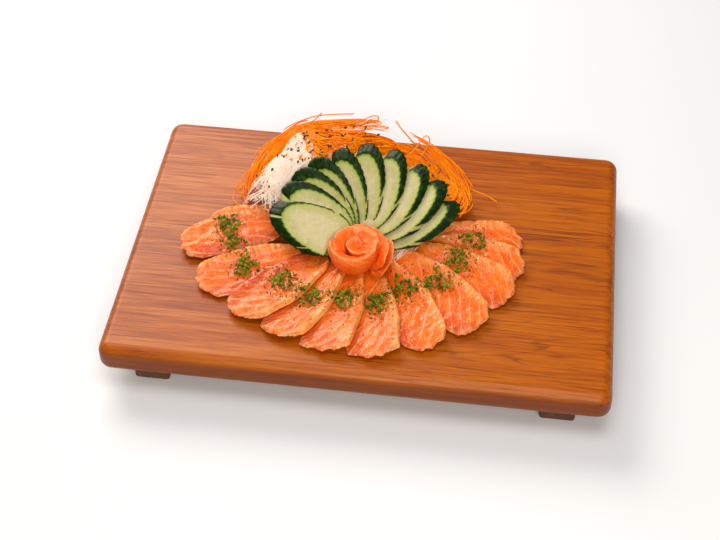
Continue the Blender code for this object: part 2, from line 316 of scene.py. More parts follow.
dark_wood = new_material("dark_batten_wood", 0.55)
batten_streaks = noise(dark_wood, object_place(dark_wood, (0.16, 0.012, 0.16)), 1.0, 4.0, 0.6)
feed(dark_wood, Normal=bump(dark_wood, batten_streaks, 0.3, 0.3),
     Base_Color=ramp(dark_wood, batten_streaks, (
         (0.30, (0.055, 0.016, 0.006)), (0.55, (0.115, 0.036, 0.012)),
         (0.75, (0.17, 0.056, 0.018)))))
for name in ("foot_left", "foot_right"):
    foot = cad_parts[name]
    foot.data.materials.clear()
    foot.data.materials.append(dark_wood)


# Salmon slices: thin raw slices cut on the bias, wet and slightly translucent, laid as a
# fan. Each lies over its neighbour, from the fourth slice outwards both ways, so its
# inner edge is on the board and its far edge rides up on the next one.
HUB = (-8.0, 2.0)
GAP = 0.3
SLICE_THICK = 3.0
SLICE_PITCH = 3.5
SLICE_RIM = 1.5
FAN_HALF_WIDTH = 17.5
FAN_HALF_WIDTH_NEAR = 10.0
FAN_NEAR_R = 25.0
FAN_FULL_R = 60.0
TOP_SLICE = 3
SEAM_SPACING = 6.2
# name, angle, swing per mm, inner and outer radius, half width, roundness, skew, turn of
# the fat seams from the slice's length
SLICES = (
    ("salmon_slice_01", -180.5, 0.25, 50.0, 97.0, 14.0, 0.90, 0.00, -10.0),
    ("salmon_slice_02", -168.0, 0.30, 48.0, 110.0, 15.2, 0.75, 0.00, -8.0),
    ("salmon_slice_03", -151.5, 0.00, 38.0, 104.5, 16.5, 0.70, 0.16, 6.0),
    ("salmon_slice_04", -132.0, 0.00, 27.0, 97.0, 16.5, 0.70, 0.22, -20.0),
    ("salmon_slice_05", -114.0, 0.00, 24.0, 93.5, 16.5, 0.62, 0.22, -18.0),
    ("salmon_slice_06", -96.0, 0.00, 22.0, 93.0, 16.5, 0.40, 0.14, -26.0),
    ("salmon_slice_07", -77.5, 0.00, 22.0, 96.0, 17.0, 0.45, 0.02, -20.0),
    ("salmon_slice_08", -57.5, 0.00, 22.0, 98.0, 17.0, 0.75, -0.04, -24.0),
    ("salmon_slice_09", -38.0, 0.00, 24.0, 101.0, 17.3, 0.60, 0.06, -24.0),
    ("salmon_slice_10", -20.0, 0.00, 26.0, 102.5, 16.8, 0.60, 0.06, -30.0),
    ("salmon_slice_11", -6.5, 0.00, 30.0, 102.5, 16.8, 0.70, 0.00, -34.0),
    ("salmon_slice_12", 8.5, 0.00, 38.0, 100.5, 16.0, 0.75, 0.14, -30.0),
)
RAISED_SIDE = 1.35
RIB_HEIGHT = 0.20
SEAM_GROOVE = 0.30
DRAPE = 0.5
# where chopped chives and chilli lie: angle and radius from the hub, half width
TUFTS = (
    (-179.0, 83.0, 6.0), (-168.0, 78.0, 6.2), (-153.0, 74.0, 6.2), (-133.0, 61.0, 7.2),
    (-113.0, 60.0, 6.6), (-93.5, 55.0, 6.4), (-73.5, 57.5, 6.4), (-52.0, 52.0, 7.6),
    (-34.0, 61.0, 7.0), (-15.0, 64.0, 7.2), (5.0, 70.0, 7.0),
)


def ruffle(x, y, seed):
    """Smooth uneven value between about -1 and 1, with waves near 1 unit long."""
    total = np.sin(5.1 * x + 2.3 * y + 1.7 * seed) + np.sin(-3.7 * x + 5.9 * y + 2.9 * seed)
    total = total + np.sin(7.9 * x - 6.1 * y + 4.3 * seed + 2.0 * np.sin(2.1 * y + seed))
    return total / 3.0


def soft_max(a, b, width):
    """Larger of two values with a rounded changeover."""
    return 0.5 * (a + b + np.sqrt((a - b) ** 2 + width ** 2))


def soft_min(a, b, width):
    """Smaller of two values with a rounded changeover."""
    return -soft_max(-a, -b, width)


def smooth(value, low, high):
    """Smooth step of a value between two limits."""
    share = np.clip((value - low) / (high - low), 0.0, 1.0)
    return share * share * (3.0 - 2.0 * share)


def polar(centre, radius, angle):
    """Point at a radius and an angle from a centre."""
    turn = np.radians(angle)
    return centre[0] + radius * np.cos(turn), centre[1] + radius * np.sin(turn)


def polar_of(centre, x, y, seam):
    """Radius and angle of a point; the angle runs from the seam up to the seam + 360."""
    dx = x - centre[0]
    dy = y - centre[1]
    return np.hypot(dx, dy), (np.degrees(np.arctan2(dy, dx)) - seam) % 360.0 + seam


def index_at(angle, knots):
    """Fractional place of an angle in rising knots, extended at both ends."""
    place = (angle - knots[0]) / (knots[1] - knots[0])
    for step in range(1, len(knots) - 1):
        here = step + (angle - knots[step]) / (knots[step + 1] - knots[step])
        place = np.where(angle >= knots[step], here, place)
    return place


def fan_width(radius):
    """Half width that the slices may have at a radius."""
    share = np.clip((radius - FAN_NEAR_R) / (FAN_FULL_R - FAN_NEAR_R), 0.0, 1.0)
    return FAN_HALF_WIDTH_NEAR + share * (FAN_HALF_WIDTH - FAN_HALF_WIDTH_NEAR)


def fan_spread(radius):
    """Angle that the half width covers as seen from the hub."""
    return np.degrees(np.arcsin(np.minimum(0.7, fan_width(radius) / np.maximum(radius, 1.0))))


def slice_angle(entry, radius):
    """Direction of a slice's middle line at a radius."""
    _, angle, swing, _, outer, *_ = entry
    return angle - swing * (outer - radius)


def right_rise(radius, angle):
    """Layers below a slice on the right-hand side, counted from the top slice."""
    knots = [slice_angle(entry, radius) - fan_spread(radius) for entry in SLICES[TOP_SLICE:]]
    return soft_min(index_at(angle, knots), float(len(knots) - 1), 0.25)


def left_rise(radius, angle):
    """Layers below a slice on the left-hand side."""
    knots = [-(slice_angle(entry, radius) + fan_spread(radius))
             for entry in reversed(SLICES[:TOP_SLICE + 1])]
    return soft_min(index_at(-angle, knots), float(TOP_SLICE), 0.25)


def slice_floor(number, x, y):
    """Height of a slice's underside above the board."""
    radius, angle = polar_of(HUB, x, y, -255.0)
    if number > TOP_SLICE:
        layers = right_rise(radius, angle) - (number - TOP_SLICE)
    elif number < TOP_SLICE:
        layers = left_rise(radius, angle) - (TOP_SLICE - number)
    else:
        layers = soft_max(right_rise(radius, angle), left_rise(radius, angle), 0.3)
    return GAP + SLICE_PITCH * soft_max(layers, 0.0, 0.12)


def round_off(u, v, roundness):
    """Map the square -1..1 onto a shape between a square (0) and a disc (1)."""
    half = 0.5 * roundness
    return u * np.sqrt(1.0 - half * v * v), v * np.sqrt(1.0 - half * u * u)


def seam_field(number, along, across):
    """Place across the fat seams, counted in seams, of a point on a slice."""
    turn = math.radians(SLICES[number][-1])
    across_seams = across * math.cos(turn) - along * math.sin(turn)
    along_seams = along * math.cos(turn) + across * math.sin(turn)
    bend = 0.003 * along_seams ** 2 + 1.1 * ruffle(along / 30.0, across / 30.0, number)
    return (across_seams + bend) / SEAM_SPACING + 0.37 * number, along_seams


def closed_sheet(name, along, across, place):
    """Sheet with two faces: a grid extruded once in edit mode, then laid in shape.
    place(u, v, side) gives points in mm, a map place and named marks."""
    bpy.ops.object.select_all(action="DESELECT")
    bpy.ops.mesh.primitive_grid_add(x_subdivisions=along, y_subdivisions=across, size=2.0)
    piece = bpy.context.object
    piece.name = piece.data.name = name
    bpy.ops.object.mode_set(mode="EDIT")
    bpy.ops.mesh.select_all(action="SELECT")
    bpy.ops.mesh.extrude_region_move(TRANSFORM_OT_translate={"value": (0.0, 0.0, 1.0)})
    bpy.ops.mesh.select_all(action="SELECT")
    bpy.ops.mesh.normals_make_consistent(inside=False)
    bpy.ops.object.mode_set(mode="OBJECT")
    bpy.ops.object.shade_smooth()
    mesh = piece.data
    u, v, height = mesh_points(mesh).T
    lay_mesh(mesh, *place(u, v, height > 0.5))
    return piece


def mesh_points(mesh):
    """Points of a mesh, one row each."""
    flat = np.empty(3 * len(mesh.vertices))
    mesh.vertices.foreach_get("co", flat)
    return flat.reshape(-1, 3)


def lay_mesh(mesh, points, map_place, marks):
    """Move a mesh's points and give it its own map and named marks, all per point."""
    mesh.vertices.foreach_set("co", (np.stack(points, axis=1) * MM).ravel())
    corner = np.empty(len(mesh.loops), dtype=int)
    mesh.loops.foreach_get("vertex_index", corner)
    while mesh.uv_layers:
        mesh.uv_layers.remove(mesh.uv_layers[0])
    layer = mesh.uv_layers.new(name="cut")
    layer.data.foreach_set("uv", np.stack(map_place, axis=1)[corner].ravel())
    for name, values in marks.items():
        mark = mesh.attributes.new(name, "FLOAT", "POINT")
        mark.data.foreach_set("value", np.asarray(values, dtype=float))
    mesh.update()


def mark_value(material, name):
    """Value of one of a mesh's named marks."""
    return shader_node(material, "ShaderNodeAttribute", attribute_name=name).outputs["Fac"]


def cut_map(material):
    """Place on the mesh's own map."""
    return shader_node(material, "ShaderNodeUVMap", uv_map="cut").outputs["UV"]


def fish_material(name, flesh, deep_and_shade_tone, fleck_and_glint_tone, rise, fat, seam_width, subsurface, coat):
    """Raw salmon: orange flesh with pale fat seams at whole numbers of the map's second
    value; rims and raised sides partly paler flesh and partly painted light, painted
    shade on the side under a neighbour, pale fibre streaks partly painted wet glints,
    redder under chilli."""
    fish = new_material(
        name, 0.34, Subsurface_Weight=subsurface, Subsurface_Scale=0.005,
        Subsurface_Radius=(1.0, 0.30, 0.08), Specular_IOR_Level=0.12, Coat_Weight=coat,
        Coat_Roughness=0.06)
    place = object_place(fish)
    rim, raised, chilli = (mark_value(fish, key) for key in ("rim", "raised", "chilli"))
    cloud = noise(fish, place, 0.085, 4.0, 0.6, 0.3)
    cut = cut_map(fish)
    seam_count = axis_of(fish, cut, "Y")
    fibre_place = shader_node(fish, "ShaderNodeMapping", {
        "Vector": cut, "Scale": (2.2, 9.0, 1.0)}).outputs["Vector"]
    fibre = noise(fish, fibre_place, 1.0, 2.0, 0.5)

    # fat seams: thin lines of uneven width with a faint halo, broken up here and there
    wobble = maths(fish, "MULTIPLY_ADD", noise(fish, place, 0.16, 2.0), 0.30, seam_count)
    away = maths(fish, "ABSOLUTE", maths(
        fish, "SUBTRACT", maths(fish, "FRACT", wobble), 0.5))
    width = patches(fish, place, 0.07, 2.0, 0.34, 0.66, 0.30 * seam_width, 1.30 * seam_width)
    seam = map_range(fish, away, width, 0.0)
    halo = map_range(fish, away, maths(fish, "MULTIPLY", width, 4.0), 0.0, 0.0, 0.20)

    feed(fish, Base_Color=lay_over(
        fish,
        ramp(fish, cloud, ((0.28, flesh[0]), (0.50, flesh[1]), (0.74, flesh[2]))),
        # pale streaks along the fibres: partly the flesh's own flecks, partly painted wet glints;
        # darker fibres between them
        (map_range(fish, fibre, 0.50, 0.76, 0.0, 0.36), fleck_and_glint_tone),
        (map_range(fish, fibre, 0.46, 0.26, 0.0, 0.28), deep_and_shade_tone),
        # painted shade: the side that lies under its neighbour is painted deeper
        (map_range(fish, raised, 0.0, -0.9, 0.0, 0.75), deep_and_shade_tone),
        # the raised side is painted paler: partly its paler flesh, partly painted light where it
        # lifts towards the window
        (maths(fish, "MULTIPLY", map_range(fish, raised, 0.30, 0.90, 0.0, 0.85),
               patches(fish, place, 0.16, 3.0, 0.34, 0.60, 0.25, 1.0)), rise),
        (maths(fish, "MULTIPLY", maths(fish, "MAXIMUM", seam, halo),
               patches(fish, place, 0.11, 3.0, 0.36, 0.56, 0.30, 0.95)), fat),
        # pale rims: partly the edges' paler flesh, partly a painted highlight where the rounded
        # edge catches the light
        (maths(fish, "MULTIPLY", rim,
               patches(fish, place, 0.25, 3.0, 0.34, 0.62, 0.05, 0.6)), fat),
        (maths(fish, "MULTIPLY", chilli,
               patches(fish, place, 1.3, 2.0, 0.38, 0.62, 0.15, 1.0, 0.7)),
         (0.66, 0.075, 0.006))))
    soft = bump(fish, cloud, 0.5, 1.2)
    ridged = bump(fish, maths(fish, "MULTIPLY_ADD", fibre, 0.5, seam), 0.35, 0.35, soft)
    # thin steps along the fibres catch the window as sharp wet glints
    steps = maths(fish, "ADD", map_range(fish, fibre, 0.48, 0.58),
                  patches(fish, place, 0.30, 1.0, 0.50, 0.60))
    wet = bump(fish, steps, 0.6, 0.20, ridged)
    feed(fish, Roughness=patches(fish, place, 0.3, 2.0, 0.3, 0.7, 0.26, 0.46), Normal=wet,
         Coat_Normal=wet)
    return fish


SALMON_TONES = ((0.74, 0.092, 0.001), (0.89, 0.145, 0.001), (0.98, 0.210, 0.003))
# the colours after the flesh tones: deep tone for darker fibres and for the painted shade under a
# neighbour, pale tone for fibre flecks and painted wet glints, pale tone of the raised side's
# painted light, and fat
salmon = fish_material("raw_salmon", SALMON_TONES, (0.60, 0.055, 0.001), (1.00, 0.30, 0.040),
                       (1.00, 0.38, 0.09), (1.00, 0.54, 0.24), 0.052, 0.15, 0.80)
tuft_places = [polar(HUB, radius, angle) for angle, radius, _ in TUFTS]
slice_pieces = []


def chilli_at(x, y):
    """How much chilli powder fell on a point: most beside the chives."""
    dusted = np.zeros(len(x))
    for (px, py), (_, _, half_width) in zip(tuft_places, TUFTS):
        away = np.hypot(x - px, y - py) / half_width
        dusted = np.maximum(dusted, 0.85 * np.exp(-0.5 * (away / 1.15) ** 2))
    return dusted


def slice_shape(number):
    """Place function of one slice."""
    entry = SLICES[number]
    _, _, swing, inner, outer, half_width, roundness, skew, _ = entry

    def place(u, v, upper):
        u = 0.6 * u + 0.4 * np.sin(0.5 * math.pi * u)
        v = 0.6 * v + 0.4 * np.sin(0.5 * math.pi * v)
        x, y = round_off(u, v, roundness)
        radius = inner + (outer - inner) * 0.5 * (x + 1.0)
        width = np.minimum(half_width, fan_width(radius) * half_width / FAN_HALF_WIDTH)
        radius = radius - skew * y * width * np.maximum(0.0, x)
        rim = np.maximum(np.abs(u), np.abs(v))
        torn = 1.0 + rim ** 3 * (0.028 * ruffle(1.4 * u, 0.9 * v, number)
                                 + 0.016 * ruffle(4.2 * u, 3.0 * v, number + 5))
        radius = radius + rim ** 4 * np.sign(x) * np.abs(x) * (
            1.2 * ruffle(0.3, 1.6 * v, number + 9) + 0.7 * ruffle(0.1, 5.0 * v, number))
        middle = polar(HUB, radius, slice_angle(entry, radius))
        lean = slice_angle(entry, radius) + 90.0 + np.degrees(
            np.arctan(np.radians(swing) * radius))
        across = y * width * torn
        px, py = polar(middle, across, lean)
        inset = np.minimum((1.0 - np.abs(u)) * 0.5 * (outer - inner), (1.0 - np.abs(v)) * width)
        end_inset = (1.0 - u) * 0.5 * (outer - inner)
        edge = np.clip(inset / SLICE_RIM, 0.0, 1.0)
        lift = np.sqrt(np.clip(1.0 - (1.0 - edge) ** 2, 0.0, 1.0))
        thick = SLICE_THICK * (0.78 + 0.22 * smooth(end_inset, 0.0, 6.0))
        seams, along_seams = seam_field(number, radius - inner, across)
        pillow = np.abs(np.sin(math.pi * seams)) ** 0.7
        raised = v if number >= TOP_SLICE else -v
        ribs = RIB_HEIGHT * np.sin(1.7 * radius + 3.0 * ruffle(radius / 14.0, 0.3, number))
        top = 0.5 * thick * (1.0 + lift) - SEAM_GROOVE * (1.0 - pillow) * lift
        top = top + lift * (0.25 * ruffle(px / 9.0, py / 9.0, number)
                            + 0.45 * ruffle(across / 11.0, radius / 50.0, number + 3)
                            + (RAISED_SIDE + ribs) * smooth(raised, 0.42, 0.72)
                            - 0.25 * smooth(raised, 0.3, -0.9))
        bottom = 0.5 * thick * (1.0 - lift)
        height = slice_floor(number, px, py) + np.where(upper, top, bottom)
        drape = DRAPE * smooth(polar_of(HUB, px, py, 0.0)[0], 60.0, 95.0)
        height = height + drape * (1.0 + ruffle(px / 42.0, py / 42.0, 3))
        # pale rim along the edges, strongest at the outer end: partly paler flesh, partly painted
        # highlight
        pale_and_lit_rim = np.maximum(0.8 * smooth(inset, 1.3, 0.1), 0.45 * smooth(end_inset, 5.0, 0.5))
        marks = {"rim": pale_and_lit_rim, "raised": raised, "chilli": chilli_at(px, py)}
        return (px, py, BOARD_TOP + height), (along_seams / 10.0, seams), marks

    return place


for number, (name, *_) in enumerate(SLICES):
    fillet = closed_sheet(f"{name}_flesh", 84, 42, slice_shape(number))
    fillet.data.materials.append(salmon)
    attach(fillet, "root")
    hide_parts(name)
    slice_pieces.append(fillet)


# Salmon rose: long slices rolled on edge into a funnel. Each wrap leans outward and
# presses on the one inside it, and its rim is thin, so the top is a spiral of soft steps
# round a small hole. Two outer petals hang open on the right.
ROSE = (-8.0, -25.0)
ROSE_BASE = 11.2
# name, start and end angle, start and end radius and height of the rim, share of the
# radius at the foot, belly, how far the rim curls in, wall, growth of the wall below the
# rim, shift of the middle
PETALS = (
    ("rose_heart", -250.0, 478.0, (2.3, 12.6), (9.0, 16.4), 0.40, 0.05, 0.00, 7.0, 1.6, (3.0, 3.0)),
    ("rose_back_petal", 12.0, 215.0, (14.4, 14.6), (15.8, 16.6), 0.62, 0.02, 0.00, 6.0, 1.6,
     (1.6, 1.2)),
    ("rose_front_petal", 152.0, 400.0, (17.0, 13.4), (14.6, 16.8), 0.74, 0.09, 0.06, 9.0, 2.0,
     (0.6, 0.4)),
    ("rose_right_petal", -36.0, 122.0, (21.0, 15.2), (12.8, 16.4), 0.56, 0.02, 0.00, 4.0, 0.8,
     (1.2, 1.0)),
    ("rose_outer_petal", -44.0, 34.0, (24.0, 22.6), (8.6, 12.8), 0.62, 0.04, 0.00, 3.2, 0.7,
     (0.8, 0.6)),
)
RIM_THICK = 0.75
PETAL_SEAM_SPACING = 3.8
ROSE_TONES = ((0.97, 0.096, 0.001), (1.00, 0.136, 0.002), (1.00, 0.185, 0.006))
# the rose's rims get the fat tone as a painted highlight along the petals' top edges
rose_flesh = fish_material("rose_salmon", ROSE_TONES, (0.85, 0.080, 0.001),
                           (1.00, 0.32, 0.050), (1.00, 0.32, 0.050), (1.00, 0.48, 0.17),
                           0.065, 0.25, 0.6)


def petal_shape(number):
    """Place function of one petal: its outer face leans out from foot to rim, and its
    inner face slopes down from the thin rim to the full wall."""
    _, start, end, radii, heights, foot, belly, curl, wall, slope, shift = PETALS[number]
    length = math.radians(end - start) * 0.5 * (radii[0] + radii[1])

    def place(u, v, outside):
        share = 0.5 * (u + 1.0)
        rise = np.sin(0.5 * math.pi * 0.5 * (v + 1.0))
        ends = np.minimum(share, 1.0 - share) * length
        tall = heights[0] + (heights[1] - heights[0]) * share
        tall = tall * (0.78 + 0.22 * smooth(ends, 0.0, 6.0))
        tall = tall + 0.45 * ruffle(share * length / 14.0, 0.2, number)
        top = radii[0] + (radii[1] - radii[0]) * share
        lean = foot + (1.0 - foot) * rise ** 0.8 + belly * 4.0 * rise * (1.0 - rise)
        radius = top * (lean - curl * smooth(rise, 0.72, 1.0))
        radius = radius + 0.30 * ruffle(share * length / 11.0, 0.7 * rise, number)
        from_top = (1.0 - rise) * tall
        thick = np.minimum(wall, RIM_THICK + slope * from_top)
        thick = thick * (0.30 + 0.70 * smooth(ends, 0.0, 3.0))
        seams = (rise * tall + 0.40 * share * length) / PETAL_SEAM_SPACING + 0.4 * number
        groove = 0.16 * (1.0 - np.abs(np.sin(math.pi * seams)) ** 0.7)
        radius = np.where(outside, radius - groove, np.maximum(0.35, radius - thick))
        middle = (ROSE[0] + shift[0], ROSE[1] + shift[1])
        px, py = polar(middle, radius, start + (end - start) * share)
        # painted highlight: the petal's thin top edge is painted pale where it catches the light
        marks = {"rim": 0.8 * smooth(from_top, 1.8, 0.0)}
        return ((px, py, BOARD_TOP + ROSE_BASE + tall * rise),
                (share * length / 10.0, seams), marks)

    return place


for number, (name, start, end, *_) in enumerate(PETALS):
    around = max(24, round((end - start) / 3.5))
    petal = closed_sheet(f"{name}_flesh", around, 30, petal_shape(number))
    petal.data.materials.append(rose_flesh)
    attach(petal, "root")
    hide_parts(name)


# Cucumber fan: the cucumber is peeled in stripes and cut on the bias. Every slice keeps
# ridged dark rind with pale peeled gaps round its slanting wall, and lies over the next
# one clockwise, so its right-hand wall shows.
FAN = (-4.0, -17.5)
CUCUMBER_THICK = 3.0
CUCUMBER_PITCH = 3.6
CUCUMBER_HALF_LENGTH = 31.3
CUCUMBER_INNER_SHARE = 0.55
CUCUMBER_HALF_WIDTH = 14.6
CUCUMBER_BIAS = 7.5
CUCUMBER_FLARE = (1.0, 0.8, 0.8, 1.0, 1.3, 1.3, 1.3, 1.3, 1.3, 1.3)
FAN_DENT = 4.0
FAN_DENT_PLACE = (-34.0, 36.0)
FAN_DENT_SIZE = (14.0, 16.0)
ROSE_CLEAR = 15.8
ROSE_CLEAR_BAND = 4.0
FAN_TOP = 22.5
FAN_SLOPE = 0.27
FAN_SLOPE_Y = -19.5
FAN_SIDE_DROP = 0.06
# angle and distance of a slice's middle from the pivot, direction of its long axis
CUCUMBERS = (
    (165.5, 24.0, 157.0), (154.5, 25.4, 144.0), (145.0, 27.0, 132.5), (135.0, 28.4, 119.5),
    (121.5, 29.6, 105.0), (104.5, 30.5, 89.5), (87.0, 30.0, 75.0), (68.5, 28.4, 60.5),
    (52.5, 28.2, 47.0), (39.5, 27.6, 32.0),
)
# strips of rind round a slice: direction and half width in degrees, 0 at the outer end
RIND_STRIPS = ((-13.0, 29.5), (-63.0, 22.5), (-126.0, 31.0), (162.0, 24.0), (108.0, 26.0),
               (50.0, 29.0))
RIND_TRIM = 13.0
RIND_RIDGE_SPACING = 4.3
RIND_RIDGE_HEIGHT = 0.75
PEEL_DEPTH = 0.5
THIN_SLICES = (1, 2, 3)
THIN_SHARE = 0.56
# share of the way out from the middle, and depth below the cut face, of each ring
CUT_RINGS = (
    (0.0, 0.0), (0.18, 0.0), (0.36, 0.0), (0.53, 0.0), (0.68, 0.0), (0.80, 0.0), (0.88, 0.0),
    (0.935, 0.0), (0.968, 0.0), (0.988, 0.03), (1.0, 0.10), (1.0, 0.30), (1.0, 0.50),
    (1.0, 0.70), (1.0, 0.90), (0.985, 0.98), (0.93, 1.0), (0.80, 1.0), (0.60, 1.0),
    (0.35, 1.0), (0.0, 1.0),
)


def cucumber_edge(entry, radius):
    """Angle of a slice's clockwise edge at a radius from the pivot."""
    angle, distance, axis = entry
    along = radius - distance
    twist = math.radians(axis - angle)
    bend = np.degrees(np.arctan2(
        along * math.sin(twist), distance + along * math.cos(twist)))
    reach = np.minimum(0.95, np.abs(along) / CUCUMBER_HALF_LENGTH)
    width = CUCUMBER_HALF_WIDTH * np.sqrt(1.0 - reach * reach)
    return angle + bend - np.degrees(np.arcsin(np.minimum(0.8, width / radius)))


def round_fan(x, y):
    """Radius and angle of a point from the cucumber fan's pivot."""
    return polar_of(FAN, x, y, -90.0)


def fan_surface(x, y):
    """Sloping surface that the slices' raised edges reach, sunk a little at the left."""
    away = ((x - FAN_DENT_PLACE[0]) / FAN_DENT_SIZE[0]) ** 2
    away = away + ((y - FAN_DENT_PLACE[1]) / FAN_DENT_SIZE[1]) ** 2
    height = FAN_TOP + FAN_SLOPE * (y - FAN_SLOPE_Y) - FAN_SIDE_DROP * np.maximum(0.0, x)
    return height - FAN_DENT * np.exp(-away)


def cucumber_top(number, x, y):
    """Height of a slice's cut face: highest at its clockwise edge."""
    radius, angle = round_fan(x, y)
    radius = np.maximum(radius, 12.0)
    knots = [-cucumber_edge(entry, radius) for entry in CUCUMBERS]
    count = soft_min(soft_max(index_at(-angle, knots), -1.2, 0.4), 7.9, 0.6)
    return fan_surface(x, y) + CUCUMBER_PITCH * (count - number)


def beside_rose(x, y):
    """Push a point out of the rose's circle, squeezing only a narrow band around it."""
    away = np.maximum(0.1, np.hypot(x - ROSE[0], y - ROSE[1]))
    limit = ROSE_CLEAR + ROSE_CLEAR_BAND
    scale = np.where(away < limit, (ROSE_CLEAR + ROSE_CLEAR_BAND * away / limit) / away, 1.0)
    return ROSE[0] + (x - ROSE[0]) * scale, ROSE[1] + (y - ROSE[1]) * scale


def closed_round(name, segments, rings, place):
    """Round closed shape: a sphere primitive whose rings are laid in shape.
    place(turn, ring) gives points in mm, a map place and named marks."""
    bpy.ops.object.select_all(action="DESELECT")
    bpy.ops.mesh.primitive_uv_sphere_add(segments=segments, ring_count=rings, radius=1.0)
    bpy.ops.object.shade_smooth()
    piece = bpy.context.object
    piece.name = piece.data.name = name
    mesh = piece.data
    x, y, z = mesh_points(mesh).T
    ring = np.rint(np.arccos(np.clip(z, -1.0, 1.0)) / math.pi * rings).astype(int)
    lay_mesh(mesh, *place(np.arctan2(y, x), ring))
    return piece


cucumber = new_material(
    "striped_cucumber", 0.30, Subsurface_Weight=0.12, Subsurface_Scale=0.003,
    Subsurface_Radius=(0.8, 1.0, 0.4), Specular_IOR_Level=0.17)
cucumber_place = object_place(cucumber)
depth_in = maths(cucumber, "ADD", axis_of(cucumber, cut_map(cucumber), "Y"), patches(
    cucumber, cucumber_place, 0.25, 2.0, 0.3, 0.7, -0.10, 0.10))
rind = mark_value(cucumber, "rind")
flesh_cloud = noise(cucumber, cucumber_place, 0.14, 4.0, 0.6, 0.4)
lime = maths(cucumber, "MULTIPLY", map_range(cucumber, depth_in, 1.7, 0.75),
             map_range(cucumber, rind, 0.2, 0.6, 0.15, 1.0))
dark_edge = maths(cucumber, "MULTIPLY", map_range(cucumber, depth_in, 0.85, 0.55),
                  map_range(cucumber, rind, 0.42, 0.58))
rind_tone = ramp(cucumber, noise(cucumber, cucumber_place, 0.28, 3.0), (
    (0.32, (0.003, 0.012, 0.0005)), (0.55, (0.006, 0.026, 0.0010)),
    (0.75, (0.024, 0.080, 0.0060))))
flesh_bump = bump(cucumber, noise(cucumber, cucumber_place, 0.9, 3.0, 0.6), 0.25, 0.3)
feed(
    cucumber,
    Base_Color=lay_over(
        cucumber,
        ramp(cucumber, flesh_cloud, (
            (0.30, (0.41, 0.38, 0.15)), (0.52, (0.49, 0.45, 0.21)),
            (0.75, (0.58, 0.51, 0.30)))),
        # paler towards the middle of the cut face: partly the flesh's paler core, partly a painted
        # highlight
        (map_range(cucumber, depth_in, 3.0, 8.0, 0.0, 0.6), (0.60, 0.53, 0.32)),
        (patches(cucumber, cucumber_place, 0.45, 4.0, 0.48, 0.70, 0.0, 0.32, 0.7),
         (0.72, 0.70, 0.48)),
        (map_range(cucumber, depth_in, 4.0, 0.8, 0.0, 0.7), (0.40, 0.45, 0.10)),
        (lime, (0.16, 0.26, 0.010)),
        (map_range(cucumber, depth_in, 0.3, 0.0, 0.0, 0.75), (0.44, 0.43, 0.14)),
        (dark_edge, rind_tone)),
    Roughness=patches(cucumber, cucumber_place, 0.7, 2.0, 0.3, 0.7, 0.26, 0.42),
    Normal=bump(cucumber, flesh_cloud, 0.3, 0.8, flesh_bump))


def rind_at(turn, number):
    """Share of rind (1) or peeled gap (0) at a turn."""
    angle = np.degrees(turn) + 3.0 * math.sin(2.1 * number)
    covered = np.zeros(len(angle))
    for middle, half_width in RIND_STRIPS:
        away = (angle - middle + 180.0) % 360.0 - 180.0
        if middle == RIND_STRIPS[-1][0] and number > 0:
            away = away - RIND_TRIM
            half_width = half_width - RIND_TRIM
        covered = np.maximum(covered, smooth(np.abs(away), half_width + 1.5, half_width - 1.5))
    return covered


def rim_length(turn):
    """Length along a slice's rim from its inner end to a turn."""
    table = np.linspace(-math.pi, math.pi, 361)
    steps = np.hypot(CUCUMBER_HALF_LENGTH * np.sin(table), CUCUMBER_HALF_WIDTH * np.cos(table))
    return np.interp(turn, table, np.cumsum(steps) * math.radians(1.0))


def slice_plane(number):
    """Flat cut face of one slice: its height at the middle and its slopes along and
    across the slice, taken from the fan's surface at its two ends and its two sides."""
    angle, distance, axis = CUCUMBERS[number]
    along = np.array((22.0, -8.0, 8.0, 8.0))
    across = np.array((0.0, 0.0, 6.0, -6.0))
    base = polar(polar(FAN, distance, angle), along, axis)
    heights = cucumber_top(number, *polar(base, across, axis + 90.0))
    slope_along = (heights[0] - heights[1]) / (along[0] - along[1])
    slope_across = (heights[2] - heights[3]) / (across[2] - across[3])
    return heights[1] - along[1] * slope_along, slope_along, slope_across


